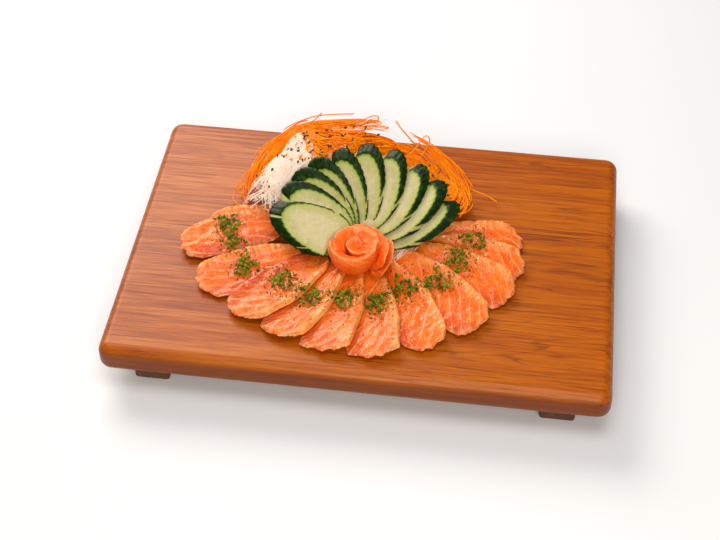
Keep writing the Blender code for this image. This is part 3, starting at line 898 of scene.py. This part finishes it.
def cucumber_shape(number):
    """Place function of one slice."""
    angle, distance, axis = CUCUMBERS[number]
    middle = polar(FAN, distance, angle)
    plane_height, slope_along, slope_across = slice_plane(number)
    # the underside of the first slice is larger all round, that of the others to one side
    flare = CUCUMBER_FLARE[number] if number > 0 else 0.0
    spread = 0.0 if number > 0 else CUCUMBER_FLARE[number]
    out_share, depth = np.array(CUT_RINGS).T

    def place(turn, ring):
        share = out_share[ring]
        down = depth[ring]
        covered = rind_at(turn, number)
        ridges = np.abs(np.cos(
            math.pi * rim_length(turn) / RIND_RIDGE_SPACING + number)) ** 0.6
        wall = covered * RIND_RIDGE_HEIGHT * ridges - (1.0 - covered) * PEEL_DEPTH
        wall = wall + 0.15 * ruffle(0.6 * np.cos(turn), 0.6 * np.sin(turn), number)
        wall = wall * smooth(share, 0.80, 0.98) + spread * down
        x = np.cos(turn)
        long_side = CUCUMBER_HALF_LENGTH * np.where(x < 0.0, CUCUMBER_INNER_SHARE, 1.0)
        along = x * share * (long_side + wall) + CUCUMBER_BIAS * down
        across = np.sin(turn) * share * (CUCUMBER_HALF_WIDTH + wall) - flare * down
        px, py = beside_rose(*polar(polar(middle, along, axis), across, axis + 90.0))
        height = plane_height + slope_along * along + slope_across * across
        near_rose = smooth(np.hypot(px - FAN[0], py - FAN[1]), 14.0, 34.0)
        thick = CUCUMBER_THICK * (THIN_SHARE if number in THIN_SLICES else 1.0)
        height = height - thick * down * (0.50 + 0.50 * near_rose)
        height = height + 0.25 * ruffle(px / 40.0, py / 40.0, number)
        inside = np.where(down < 0.05, (1.0 - share) * CUCUMBER_HALF_WIDTH
                          * (1.0 + 0.25 * np.abs(x)), -0.5)
        return (px, py, BOARD_TOP + height), (turn / (2.0 * math.pi), inside), {"rind": covered}

    return place


for number in range(len(CUCUMBERS)):
    name = f"cucumber_slice_{number + 1:02d}"
    disc = closed_round(f"{name}_cut", 160, len(CUT_RINGS) - 1, cucumber_shape(number))
    disc.data.materials.append(cucumber)
    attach(disc, "root")
    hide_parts(name)


# Shredded daikon and carrot: long thin strands pulled into two tangled heaps behind the
# cucumber fan, which leans on them. A bed of daikon also lies under the fan.
HEAP_TOP = 39.8
DAIKON_MIDDLE = (-47.0, 51.0)
DAIKON_SPREAD = (22.5, 31.0)
DAIKON_PEAK = 41.0
CARROT_PEAK = 37.0
CARROT_FALL = 0.30
CARROT_FULL_ANGLE = 108.0
CARROT_MIDDLE_ANGLE = 100.0
CARROT_HALF_ANGLE = 78.0
CARROT_CREST = 78.0
CARROT_INNER = 48.0
CARROT_OUTER = 101.0
FAN_REACH = 63.0
FAN_CLEAR = 11.5
BED_REACH = 38.0
CORE_RINGS = 14
CORE_DOME_RINGS = 10
STRAND_STEP = 2.6


def below_fan(x, y, height):
    """Keep a height under the cucumber fan where the fan lies over it."""
    radius, angle = round_fan(x, y)
    outside = 3.0 * np.maximum(0.0, radius - FAN_REACH) + 1.5 * np.maximum(0.0, angle - 190.0)
    outside = outside + 1.5 * np.maximum(0.0, 5.0 - angle)
    return soft_min(height, fan_surface(x, y) - FAN_CLEAR + outside, 5.0)


def daikon_height(x, y):
    """Surface of the daikon heap above the board."""
    away = ((x - DAIKON_MIDDLE[0]) / DAIKON_SPREAD[0]) ** 2
    away = away + ((y - DAIKON_MIDDLE[1]) / DAIKON_SPREAD[1]) ** 2
    dome = np.maximum(0.0, 1.0 - away) ** 0.45
    height = DAIKON_PEAK * dome * (0.50 + 0.50 * smooth(y, 15.0, 60.0))
    return np.maximum(0.0, below_fan(x, y, height))


def carrot_reach(angle):
    """Radius from the fan's pivot at which the carrot heap ends."""
    return CARROT_OUTER - 0.0060 * (CARROT_FULL_ANGLE - angle) ** 2


def carrot_height(x, y):
    """Surface of the carrot heap above the board: a ridge round the back of the fan."""
    radius, angle = round_fan(x, y)
    side = np.abs(angle - CARROT_MIDDLE_ANGLE) / CARROT_HALF_ANGLE
    peak = CARROT_PEAK - CARROT_FALL * np.maximum(0.0, CARROT_FULL_ANGLE - angle)
    peak = peak * np.sqrt(np.maximum(0.0, 1.0 - side ** 2.4))
    outer = (radius - CARROT_CREST) / np.maximum(8.0, carrot_reach(angle) - CARROT_CREST)
    inner = (CARROT_CREST - radius) / (CARROT_CREST - CARROT_INNER)
    away = np.where(radius > CARROT_CREST, outer, inner)
    dome = np.sqrt(np.maximum(0.0, 1.0 - away ** 2))
    return np.maximum(0.0, below_fan(x, y, peak * dome))


def heap_height(x, y):
    """Surface of both heaps together."""
    return np.maximum(daikon_height(x, y), carrot_height(x, y))


def strand_paths(seed, starts, headings, steps, stride, curl, home, pull, layer, wave):
    """Long curling paths over the heaps, one row per strand. home(x, y) is above zero
    where a strand should turn back towards the heap."""
    rng = np.random.default_rng(seed)
    x, y = (np.array(value, dtype=float) for value in starts)
    heading = np.array(headings, dtype=float)
    count = len(x)
    bend = rng.normal(0.0, curl, count)
    depth = rng.uniform(*layer, count)
    phase = rng.uniform(0.0, FULL_TURN, count)
    pace = rng.uniform(0.05, 0.11, count)
    rows = []
    for step in range(steps):
        surface = heap_height(x, y)
        loose = wave * (0.5 + 0.5 * np.sin(phase + pace * stride * step * 2.0))
        flutter = 0.22 * np.sin(2.7 * phase + 0.35 * stride * step)
        height = surface * depth + loose + flutter
        rows.append(np.stack((x, y, np.maximum(1.0, height)), axis=1))
        bend = 0.95 * bend + rng.normal(0.0, 0.18 * curl, count)
        heading = heading + bend * stride
        away, home_heading = home(x, y)
        heading = heading + pull * np.clip(away, 0.0, 1.0) * np.sin(home_heading - heading)
        slope = heap_height(x + np.cos(heading), y + np.sin(heading)) - surface
        pace_xy = stride / np.sqrt(1.0 + np.minimum(slope ** 2, 9.0))
        x = x + pace_xy * np.cos(heading)
        y = y + pace_xy * np.sin(heading)
    return np.stack(rows, axis=1)


def along_guide(seed, count, guide, spread, sway, share):
    """Long strands that follow a guide line, each over its own part of it, swaying to
    its sides; share is the least and greatest part of the line they cover."""
    rng = np.random.default_rng(seed)
    guide = np.array(guide, dtype=float)
    paths = []
    for _ in range(count):
        part = rng.uniform(*share)
        begin = rng.uniform(0.0, 1.0 - part)
        place = np.linspace(begin, begin + part, 40)
        knots = np.linspace(0.0, 1.0, len(guide))
        line = np.stack([np.interp(place, knots, column) for column in guide.T], axis=1)
        for _ in range(12):
            line[1:-1] = 0.25 * line[:-2] + 0.5 * line[1:-1] + 0.25 * line[2:]
        ahead = np.gradient(line[:, :2], axis=0)
        ahead = ahead / np.maximum(0.01, np.linalg.norm(ahead, axis=1))[:, None]
        phase = rng.uniform(0.0, FULL_TURN, 2)
        pace = rng.uniform(4.0, 9.0, 2)
        aside = rng.normal(0.0, spread) + sway * np.sin(phase[0] + pace[0] * place)
        line[:, 0] -= aside * ahead[:, 1]
        line[:, 1] += aside * ahead[:, 0]
        line[:, 2] += rng.uniform(0.0, 1.5) + 0.4 * sway * np.sin(phase[1] + pace[1] * place)
        ground = heap_height(line[:, 0], line[:, 1]) + rng.uniform(0.2, 1.2)
        line[:, 2] = np.maximum(line[:, 2], ground)
        paths.append(line)
    return paths


def strand_curve(name, paths, thickness, seed):
    """Turn paths into one mesh of round strands with tapered ends."""
    rng = np.random.default_rng(seed)
    curve = bpy.data.curves.new(name, "CURVE")
    curve.dimensions = "3D"
    curve.bevel_depth = 0.5 * MM
    # four sides are enough for such thin strands
    curve.bevel_resolution = 0
    curve.use_fill_caps = True
    for path in paths:
        # two running means take the corners out of a path
        for _ in range(2):
            mean = (path[:-2] + path[1:-1] + path[2:]) / 3.0
            path = np.concatenate((path[:1], mean, path[-1:]))
        spline = curve.splines.new("POLY")
        spline.points.add(len(path) - 1)
        whole = np.ones((len(path), 4))
        path[:, 2] = np.minimum(path[:, 2], HEAP_TOP)
        whole[:, :3] = (path + (0.0, 0.0, BOARD_TOP)) * MM
        spline.points.foreach_set("co", whole.ravel())
        radius = np.full(len(path), rng.uniform(*thickness))
        radius[0] = radius[-1] = 0.45 * radius[1]
        spline.points.foreach_set("radius", radius)
        spline.use_smooth = True
    piece = add_object(name, curve)
    bpy.ops.object.select_all(action="DESELECT")
    piece.select_set(True)
    bpy.context.view_layer.objects.active = piece
    bpy.ops.object.convert(target="MESH")
    piece = bpy.context.object
    piece.name = piece.data.name = name
    bpy.ops.object.shade_smooth()
    return piece


def heap_core(name, outline, height):
    """Smaller closed core inside a heap, which stops light between the strands."""
    def place(turn, ring):
        share = np.sin(np.minimum(ring / CORE_DOME_RINGS, 1.0) * 0.5 * math.pi)
        under = ring > CORE_DOME_RINGS
        share = np.where(under, (CORE_RINGS - ring) / (CORE_RINGS - CORE_DOME_RINGS), share)
        px, py = outline(turn, share)
        z = np.where(under, 0.6, np.maximum(0.9, height(px, py) - 1.0))
        return (px, py, BOARD_TOP + z), (px / 10.0, py / 10.0), {}

    return closed_round(name, 96, CORE_RINGS, place)


def strand_material(name, tones, deep_and_shade_tone, roughness, subsurface):
    """Moist shredded root: uneven tone along the strands, with painted shade low in the heap."""
    root = new_material(
        name, roughness, Subsurface_Weight=subsurface, Subsurface_Scale=0.002,
        Subsurface_Radius=(1.0, 0.7, 0.5), Specular_IOR_Level=0.15)
    place = object_place(root)
    cloud = noise(root, place, 0.16, 3.0, 0.6)
    # painted shade: strands low in the heap, which those above shade, are painted darker
    low = map_range(root, maths(root, "MULTIPLY_ADD", cloud, 10.0, axis_of(root, place, "Z")),
                    BOARD_TOP + 14.0, BOARD_TOP + 3.0, 0.0, 0.4)
    colour = ramp(root, cloud, ((0.30, tones[0]), (0.52, tones[1]), (0.72, tones[2])))
    feed(root, Base_Color=mix(root, low, colour, deep_and_shade_tone),
         Normal=bump(root, noise(root, place, 1.4, 2.0), 0.25, 0.2))
    return root


# the last colour of each is the painted shade low in the heap
carrot_root = strand_material(
    "carrot_shreds", ((1.00, 0.205, 0.001), (1.00, 0.270, 0.001), (1.00, 0.370, 0.003)),
    (0.95, 0.120, 0.001), 0.42, 0.12)
daikon_root = strand_material(
    "daikon_shreds", ((0.98, 0.74, 0.60), (1.00, 0.82, 0.70), (1.00, 0.90, 0.80)),
    (0.92, 0.60, 0.44), 0.40, 0.15)

draw = np.random.default_rng(7)


def carrot_home(x, y):
    """Turn back at the carrot heap's outline."""
    radius, angle = round_fan(x, y)
    over = np.maximum((radius - carrot_reach(angle)) / 6.0, (58.0 - radius) / 5.0)
    over = np.maximum(over, np.maximum((angle - 114.0) / 5.0, (54.0 - angle) / 5.0))
    aim = polar(FAN, 80.0, np.clip(angle, 64.0, 108.0))
    return over, np.arctan2(aim[1] - y, aim[0] - x)


def on_heap(paths, least_angle):
    """Which paths never run off the carrot heap."""
    radius, angle = round_fan(paths[:, :, 0], paths[:, :, 1])
    inside = (radius < carrot_reach(angle) + 7.0) & (angle > least_angle) & (angle < 126.0)
    return inside.all(axis=1)


def in_daikon(share, turn):
    """Point at a turn and at a share of the way to the daikon heap's outline."""
    return (DAIKON_MIDDLE[0] + DAIKON_SPREAD[0] * share * np.cos(turn),
            DAIKON_MIDDLE[1] + DAIKON_SPREAD[1] * share * np.sin(turn))


def daikon_home(limit, gain):
    """Home function that turns strands back at a share of the daikon heap's outline."""
    def home(x, y):
        away = np.hypot((x - DAIKON_MIDDLE[0]) / DAIKON_SPREAD[0],
                        (y - DAIKON_MIDDLE[1]) / DAIKON_SPREAD[1])
        return (away - limit) * gain, np.arctan2(DAIKON_MIDDLE[1] - y, DAIKON_MIDDLE[0] - x)

    return home


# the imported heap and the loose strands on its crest: seed, count, angles and radii of the
# starts, spread of the headings, steps, curl, pull, layer, wave, least angle
CARROT_LAYERS = (
    (11, 620, (52.0, 113.0), (60.0, 98.0), 38.0, 30, 0.04, 0.4, (0.975, 1.01), 0.5, 42.0),
    (12, 90, (72.0, 114.0), (70.0, 92.0), 24.0, 26, 0.020, 0.45, (1.0, 1.03), 3.0, 57.0),
)
# bundles round the left of the daikon and round the right end of the fan: count, spread,
# sway, shares of the line, guide line
BUNDLES = (
    (40, 2.8, 2.6, (0.30, 0.95), (
        (2.0, 72.0, 36.0), (-14.0, 73.0, 36.0), (-28.0, 72.0, 36.0), (-45.0, 70.0, 36.0),
        (-60.0, 65.0, 33.0), (-71.0, 56.0, 25.0), (-77.0, 45.0, 16.0), (-79.0, 35.0, 8.0),
        (-74.0, 26.0, 3.0))),
    (16, 3.2, 3.4, (0.4, 0.9), (
        (-34.0, 72.0, 37.0), (-54.0, 69.0, 33.0), (-70.0, 61.0, 22.0), (-81.0, 50.0, 11.0),
        (-86.0, 39.0, 6.0), (-84.0, 30.0, 3.0), (-76.0, 25.0, 3.0))),
    (30, 2.8, 2.3, (0.35, 0.95), (
        (12.0, 68.0, 31.0), (26.0, 65.0, 28.0), (38.0, 59.0, 20.0), (48.0, 51.0, 12.0),
        (53.0, 41.0, 7.0), (52.0, 32.0, 4.0), (47.0, 27.0, 3.0))),
)
# guide lines of single strands that stand clear of the heap
STRAYS = (
    ((-55, 63, 39), (-50, 66, 39), (-46, 71, 39), (-43, 78, 39)),
    ((-36, 68, 39), (-26, 67, 39), (-18, 72, 39), (-12, 78, 39), (-7, 81, 39), (-5, 76, 39),
     (-9, 68, 39), (-18, 60, 38), (-25, 56, 36)),
    ((5, 76, 39), (9, 69, 39), (14, 64, 37), (19, 61, 33)),
    ((13, 50, 30), (20, 56, 34), (23, 62, 38), (26, 66, 39), (29, 62, 38), (27, 57, 35),
     (24, 53, 32)),
    ((28, 64, 28), (35, 66, 25), (44, 62, 20), (52, 58, 14), (57, 55, 9), (55, 49, 6),
     (48, 45, 5)),
    ((54, 54, 7), (58, 54, 5), (66, 53, 3), (74, 48, 2)),
    ((49, 28, 3), (54, 33, 3), (57, 42, 5), (53, 48, 8), (47, 48, 14)),
    ((-72, 60, 24), (-84, 49, 14), (-91, 40, 9), (-94, 35, 6), (-89, 31, 4), (-80, 31, 6),
     (-73, 34, 12)),
    ((-88, 38, 8), (-95, 32, 3), (-92, 25, 2), (-84, 23, 2), (-77, 25, 3), (-71, 28, 6)),
)
carrot_paths = []
for seed, count, around, reach, spread, steps, curl, pull, layer, wave, least in CARROT_LAYERS:
    angles = draw.uniform(*around, count)
    starts = polar(FAN, draw.uniform(*reach, count), angles)
    headings = np.radians(angles + 90.0 + 180.0 * draw.integers(0, 2, count)
                          + draw.normal(0.0, spread, count))
    paths = strand_paths(seed, starts, headings, steps, 2.7, curl, carrot_home, pull, layer, wave)
    carrot_paths.extend(paths[on_heap(paths, least)])
for seed, (count, spread, sway, share, guide) in enumerate(BUNDLES, 31):
    carrot_paths += along_guide(seed, count, guide, spread, sway, share)
for seed, guide in enumerate(STRAYS, 40):
    carrot_paths += along_guide(seed, 1, guide, 0.0, 0.0, (1.0, 1.0))
# short crumbs of carrot on the daikon
count = 34
starts = (draw.uniform(-66.0, -40.0, count), draw.uniform(32.0, 66.0, count))
carrot_paths.extend(strand_paths(
    15, starts, draw.normal(math.radians(-112.0), 0.5, count), 4, 0.8, 0.05,
    lambda x, y: (0.0 * x, 0.0 * x), 0.0, (1.02, 1.04), 0.3))
carrot = strand_curve("carrot_strands", carrot_paths, (0.85, 1.2), 21)
carrot_core = heap_core(
    "carrot_core", lambda turn, share: polar(
        FAN, 80.0 + np.where(np.sin(turn) > 0.0, 20.0, 24.0) * share * np.sin(turn),
        81.0 - 33.0 * share * np.cos(turn)), carrot_height)

count = 560
spread = np.sqrt(draw.uniform(0.0, 1.0, count)) * 0.9
turns = draw.uniform(0.0, FULL_TURN, count)
daikon_flow = strand_paths(
    13, in_daikon(spread, turns), draw.normal(math.radians(-115.0), 0.15, count), 15,
    STRAND_STEP, 0.012, daikon_home(0.86, 5.0), 0.25, (0.985, 1.005), 0.25)
count = 70
starts = polar(FAN, draw.uniform(22.0, BED_REACH, count), draw.uniform(28.0, 146.0, count))


def bed_home(x, y):
    """Turn back at the edge of the cucumber fan."""
    radius, angle = round_fan(x, y)
    over = np.maximum((radius - BED_REACH) / 4.0, np.maximum(angle - 150.0, 22.0 - angle) / 6.0)
    return over, np.arctan2(FAN[1] + 26.0 - y, FAN[0] - x)


bed = strand_paths(14, starts, draw.uniform(0.0, FULL_TURN, count), 24, STRAND_STEP, 0.08, bed_home,
                   0.9, (0.3, 1.0), 1.0)
radius, _ = round_fan(bed[:, :, 0], bed[:, :, 1])
within = np.minimum(1.0, BED_REACH / radius)
bed[:, :, 0] = FAN[0] + (bed[:, :, 0] - FAN[0]) * within
bed[:, :, 1] = FAN[1] + (bed[:, :, 1] - FAN[1]) * within
bed[:, :, 2] = 4.5 + draw.uniform(0.0, 1.0, (count, 1)) * (7.0 + 0.10 * radius)
# the bed keeps clear of the right end of the fan
radius, angle = round_fan(bed[:, :, 0], bed[:, :, 1])
bed = bed[~((radius > 24.0) & (angle < 42.0)).any(axis=1)]


def surface_below(pieces):
    """Tree of the pieces' faces, to drop small things on them."""
    corners = []
    faces = []
    for piece in pieces:
        start = sum(len(block) for block in corners)
        corners.append(mesh_points(piece.data))
        faces.extend([place + start for place in face.vertices] for face in piece.data.polygons)
    return BVHTree.FromPolygons(np.concatenate(corners).tolist(), faces)


def drop(tree, x, y):
    """Heights above the ground of the first faces met from above, or the board's top."""
    heights = []
    for px, py in zip(x, y):
        spot, _, _, _ = tree.ray_cast(Vector((px * MM, py * MM, 1.0)), Vector((0, 0, -1)))
        heights.append(spot.z / MM if spot else BOARD_TOP)
    return np.array(heights)


# strands hang down the back and the left of the daikon heap to the board
count = 300
turns = draw.uniform(-0.6, 4.1, count)
share = draw.uniform(0.40, 0.92, count)
curtain = strand_paths(
    16, in_daikon(share, turns), turns + draw.normal(0.0, 0.6, count), 18, STRAND_STEP, 0.05,
    daikon_home(0.97, 8.0), 0.8, (0.97, 1.01), 0.3)
# a few ends show at the foot of the fan on both sides of the rose, and on the crest
ends = along_guide(34, 44, ((12.0, -20.0, 3.0), (19.0, -12.0, 3.0), (26.0, -4.0, 3.0),
                            (35.0, 3.0, 3.0)), 1.5, 1.1, (0.12, 0.35))
salmon_below = surface_below(slice_pieces)
for line in ends:
    line[:, 2] = drop(salmon_below, line[:, 0], line[:, 1]) - BOARD_TOP + draw.uniform(0.4, 2.2)
ends += along_guide(35, 10, ((-38.0, -2.0, 3.0), (-44.0, -4.0, 4.0), (-52.0, 0.0, 3.5)), 2.0, 1.5,
                    (0.4, 0.9))
ends += along_guide(36, 5, ((2.0, 73.0, 38.0), (-6.0, 71.0, 39.0), (-16.0, 66.0, 38.0)), 3.0, 2.0,
                    (0.5, 1.0))
daikon = strand_curve("daikon_strands", [*daikon_flow, *bed, *ends, *curtain], (0.5, 0.75), 22)
daikon_core = heap_core(
    "daikon_core", lambda turn, share: in_daikon(0.86 * share, turn), daikon_height)

for pieces, node, root in (
    ((carrot, carrot_core), "carrot_heap", carrot_root),
    ((daikon, daikon_core), "daikon_heap", daikon_root),
):
    for piece in pieces:
        piece.data.materials.clear()
        piece.data.materials.append(root)
        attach(piece, "root")
    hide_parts(node)


# Chives, chilli and sesame: chives cut across into small rings and dropped in little
# heaps on the salmon, over a dusting of chilli and pepper; black sesame on the shreds.
RING_COUNT = 60
CRUMB_COUNT = 60
CRUMB_REACH = 1.6
RING_WALL = 0.17


def random_turns(rng, count, tilt):
    """Rotation matrices: any turn about Z after a tilt of up to about that many radians."""
    turns = []
    for _ in range(count):
        lean = Matrix.Rotation(rng.normal(0.0, tilt), 3, "X")
        roll = Matrix.Rotation(rng.normal(0.0, tilt), 3, "Y")
        turns.append(Matrix.Rotation(rng.uniform(0.0, FULL_TURN), 3, "Z") @ lean @ roll)
    return np.array([[list(row) for row in turn] for turn in turns])


def take_template(piece):
    """Points and faces of a small primitive, which is then removed."""
    points = mesh_points(piece.data)
    faces = [tuple(face.vertices) for face in piece.data.polygons]
    bpy.data.objects.remove(piece, do_unlink=True)
    return points, faces


def scatter(name, template, places, sizes, turns, rng):
    """One mesh of many copies of a template, each with its own size, turn and tone."""
    points, faces = template
    count = len(places)
    grown = points[None, :, :] * sizes[:, None, :]
    laid = np.einsum("nij,npj->npi", turns, grown) + places[:, None, :]
    every = [tuple(place + copy * len(points) for place in face)
             for copy in range(count) for face in faces]
    mesh = bpy.data.meshes.new(name)
    mesh.from_pydata((laid.reshape(-1, 3) * MM).tolist(), [], every)
    tone = mesh.attributes.new("tone", "FLOAT", "POINT")
    tone.data.foreach_set("value", np.repeat(rng.uniform(0.0, 1.0, count), len(points)))
    mesh.shade_smooth()
    return add_object(name, mesh)


bpy.ops.object.select_all(action="DESELECT")
bpy.ops.mesh.primitive_cylinder_add(vertices=9, radius=0.5, depth=1.0, end_fill_type="NOTHING")
ring = bpy.context.object
wall = ring.modifiers.new("wall", "SOLIDIFY")
wall.thickness = RING_WALL
wall.offset = -1.0
bpy.ops.object.modifier_apply(modifier="wall")
ring_template = take_template(ring)
bpy.ops.mesh.primitive_ico_sphere_add(subdivisions=1, radius=0.5)
grain_template = take_template(bpy.context.object)
bpy.ops.mesh.primitive_uv_sphere_add(segments=10, ring_count=7, radius=0.5)
seed_template = take_template(bpy.context.object)
seed_points = seed_template[0]
seed_points[:, 1:] *= (1.0 - 0.45 * np.maximum(0.0, 2.0 * seed_points[:, :1]))

chive_green = new_material("chopped_chives", 0.42, Subsurface_Weight=0.1,
                           Subsurface_Scale=0.001, Specular_IOR_Level=0.3)
chive_cloud = noise(chive_green, object_place(chive_green), 0.9, 2.0)
feed(chive_green, Base_Color=ramp(chive_green, maths(
    chive_green, "MULTIPLY_ADD", chive_cloud, 0.5, mark_value(chive_green, "tone")), (
        (0.25, (0.036, 0.068, 0.001)), (0.60, (0.105, 0.155, 0.002)),
        (1.00, (0.270, 0.330, 0.006)))))

for number, (angle, reach, half_width) in enumerate(TUFTS):
    rng = np.random.default_rng(100 + number)
    px, py = tuft_places[number]
    share = np.sqrt(rng.uniform(0.0, 1.0, RING_COUNT + CRUMB_COUNT))
    share[RING_COUNT:] *= CRUMB_REACH
    turn = rng.uniform(0.0, FULL_TURN, len(share))
    lobe = 1.0 + 0.22 * np.sin(3.0 * turn + number)
    x = px + 1.12 * half_width * share * lobe * np.cos(turn)
    y = py + 1.12 * half_width * share * lobe * np.sin(turn)
    pile = np.maximum(0.0, 1.0 - (share / 1.05) ** 2) * rng.uniform(0.0, 1.0, len(share)) * 2.2
    z = drop(salmon_below, x, y) + 0.75 + pile
    across = rng.uniform(0.9, 1.9, len(share))
    length = rng.uniform(0.8, 2.2, len(share))
    across[RING_COUNT:] *= 0.5
    length[RING_COUNT:] *= 0.6
    z[RING_COUNT:] -= 0.3
    tuft = scatter(f"chive_tuft_{number + 1:02d}_rings", ring_template,
                   np.stack((x, y, z), axis=1),
                   np.stack((across, across * rng.uniform(0.7, 1.0, len(share)), length), axis=1),
                   random_turns(rng, len(share), 0.75), rng)
    tuft.data.materials.append(chive_green)
    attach(tuft, "root")
    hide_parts(f"chive_tuft_{number + 1:02d}")


def speck_material(name, stops, roughness):
    """Small dry bits whose tone runs over a ramp from one to the next."""
    speck = new_material(name, roughness)
    feed(speck, Base_Color=ramp(speck, mark_value(speck, "tone"), stops),
         Normal=bump(speck, noise(speck, object_place(speck), 3.0, 2.0), 0.4, 0.1))
    return speck


def beside_tufts(rng, count, spread):
    """Random places on the salmon, crowded round the chive heaps."""
    pick = rng.integers(0, len(TUFTS), count)
    x = np.array([tuft_places[place][0] for place in pick]) + rng.normal(0.0, spread, count)
    y = np.array([tuft_places[place][1] for place in pick]) + rng.normal(0.0, spread, count)
    return x, y


def lay_bits(piece_name, template, under, least, places, sides, lift, tilt, material, rng):
    """Bits lying on the pieces under them; those that would miss them are left out. The
    sides are the least and greatest size and the shares for length, width and height."""
    x, y = places
    z = drop(under, x, y)
    met = z > BOARD_TOP + least
    x, y, z = x[met], y[met], z[met]
    sizes = rng.uniform(*sides[:2], (len(x), 1)) * np.array(sides[2:])
    piece = scatter(piece_name, template, np.stack((x, y, z + lift), axis=1), sizes,
                    random_turns(rng, len(x), tilt), rng)
    piece.data.materials.append(material)
    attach(piece, "root")
    return piece


chilli_red = speck_material("ground_chilli", (
    (0.0, (0.55, 0.045, 0.006)), (0.5, (0.75, 0.12, 0.012)), (1.0, (0.80, 0.26, 0.03))), 0.5)
pepper_black = speck_material("cracked_pepper", (
    (0.0, (0.012, 0.008, 0.006)), (1.0, (0.10, 0.025, 0.010))), 0.5)
for seed, (name, count, spread, sides, material, slot) in enumerate((
    ("chilli_grains", 1500, 7.5, (0.35, 0.8, 1.0, 0.8, 0.5), chilli_red, "salmon"),
    ("pepper_grains", 330, 11.0, (0.4, 0.95, 1.0, 0.8, 0.6), pepper_black, "salmon"),
    ("chive_crumbs", 260, 10.0, (0.6, 1.3, 1.0, 0.8, 0.6), chive_green, "chives"),
), 31):
    rng = np.random.default_rng(seed)
    lay_bits(name, grain_template, salmon_below, 1.5, beside_tufts(rng, count, spread),
                     sides, 0.12, 0.3, material, rng)

rng = np.random.default_rng(41)
angles = np.concatenate((rng.normal(112.0, 12.0, 62), rng.uniform(45.0, 165.0, 33)))
sesame_black = speck_material("black_sesame", (
    (0.0, (0.010, 0.008, 0.007)), (1.0, (0.035, 0.028, 0.022))), 0.38)
sesame = lay_bits("sesame_seeds", seed_template, surface_below((carrot, daikon)), 3.0,
                  polar(FAN, rng.uniform(64.0, 88.0, len(angles)), angles),
                  (0.75, 1.1, 2.4, 1.5, 0.9), 0.35, 0.5, sesame_black, rng)
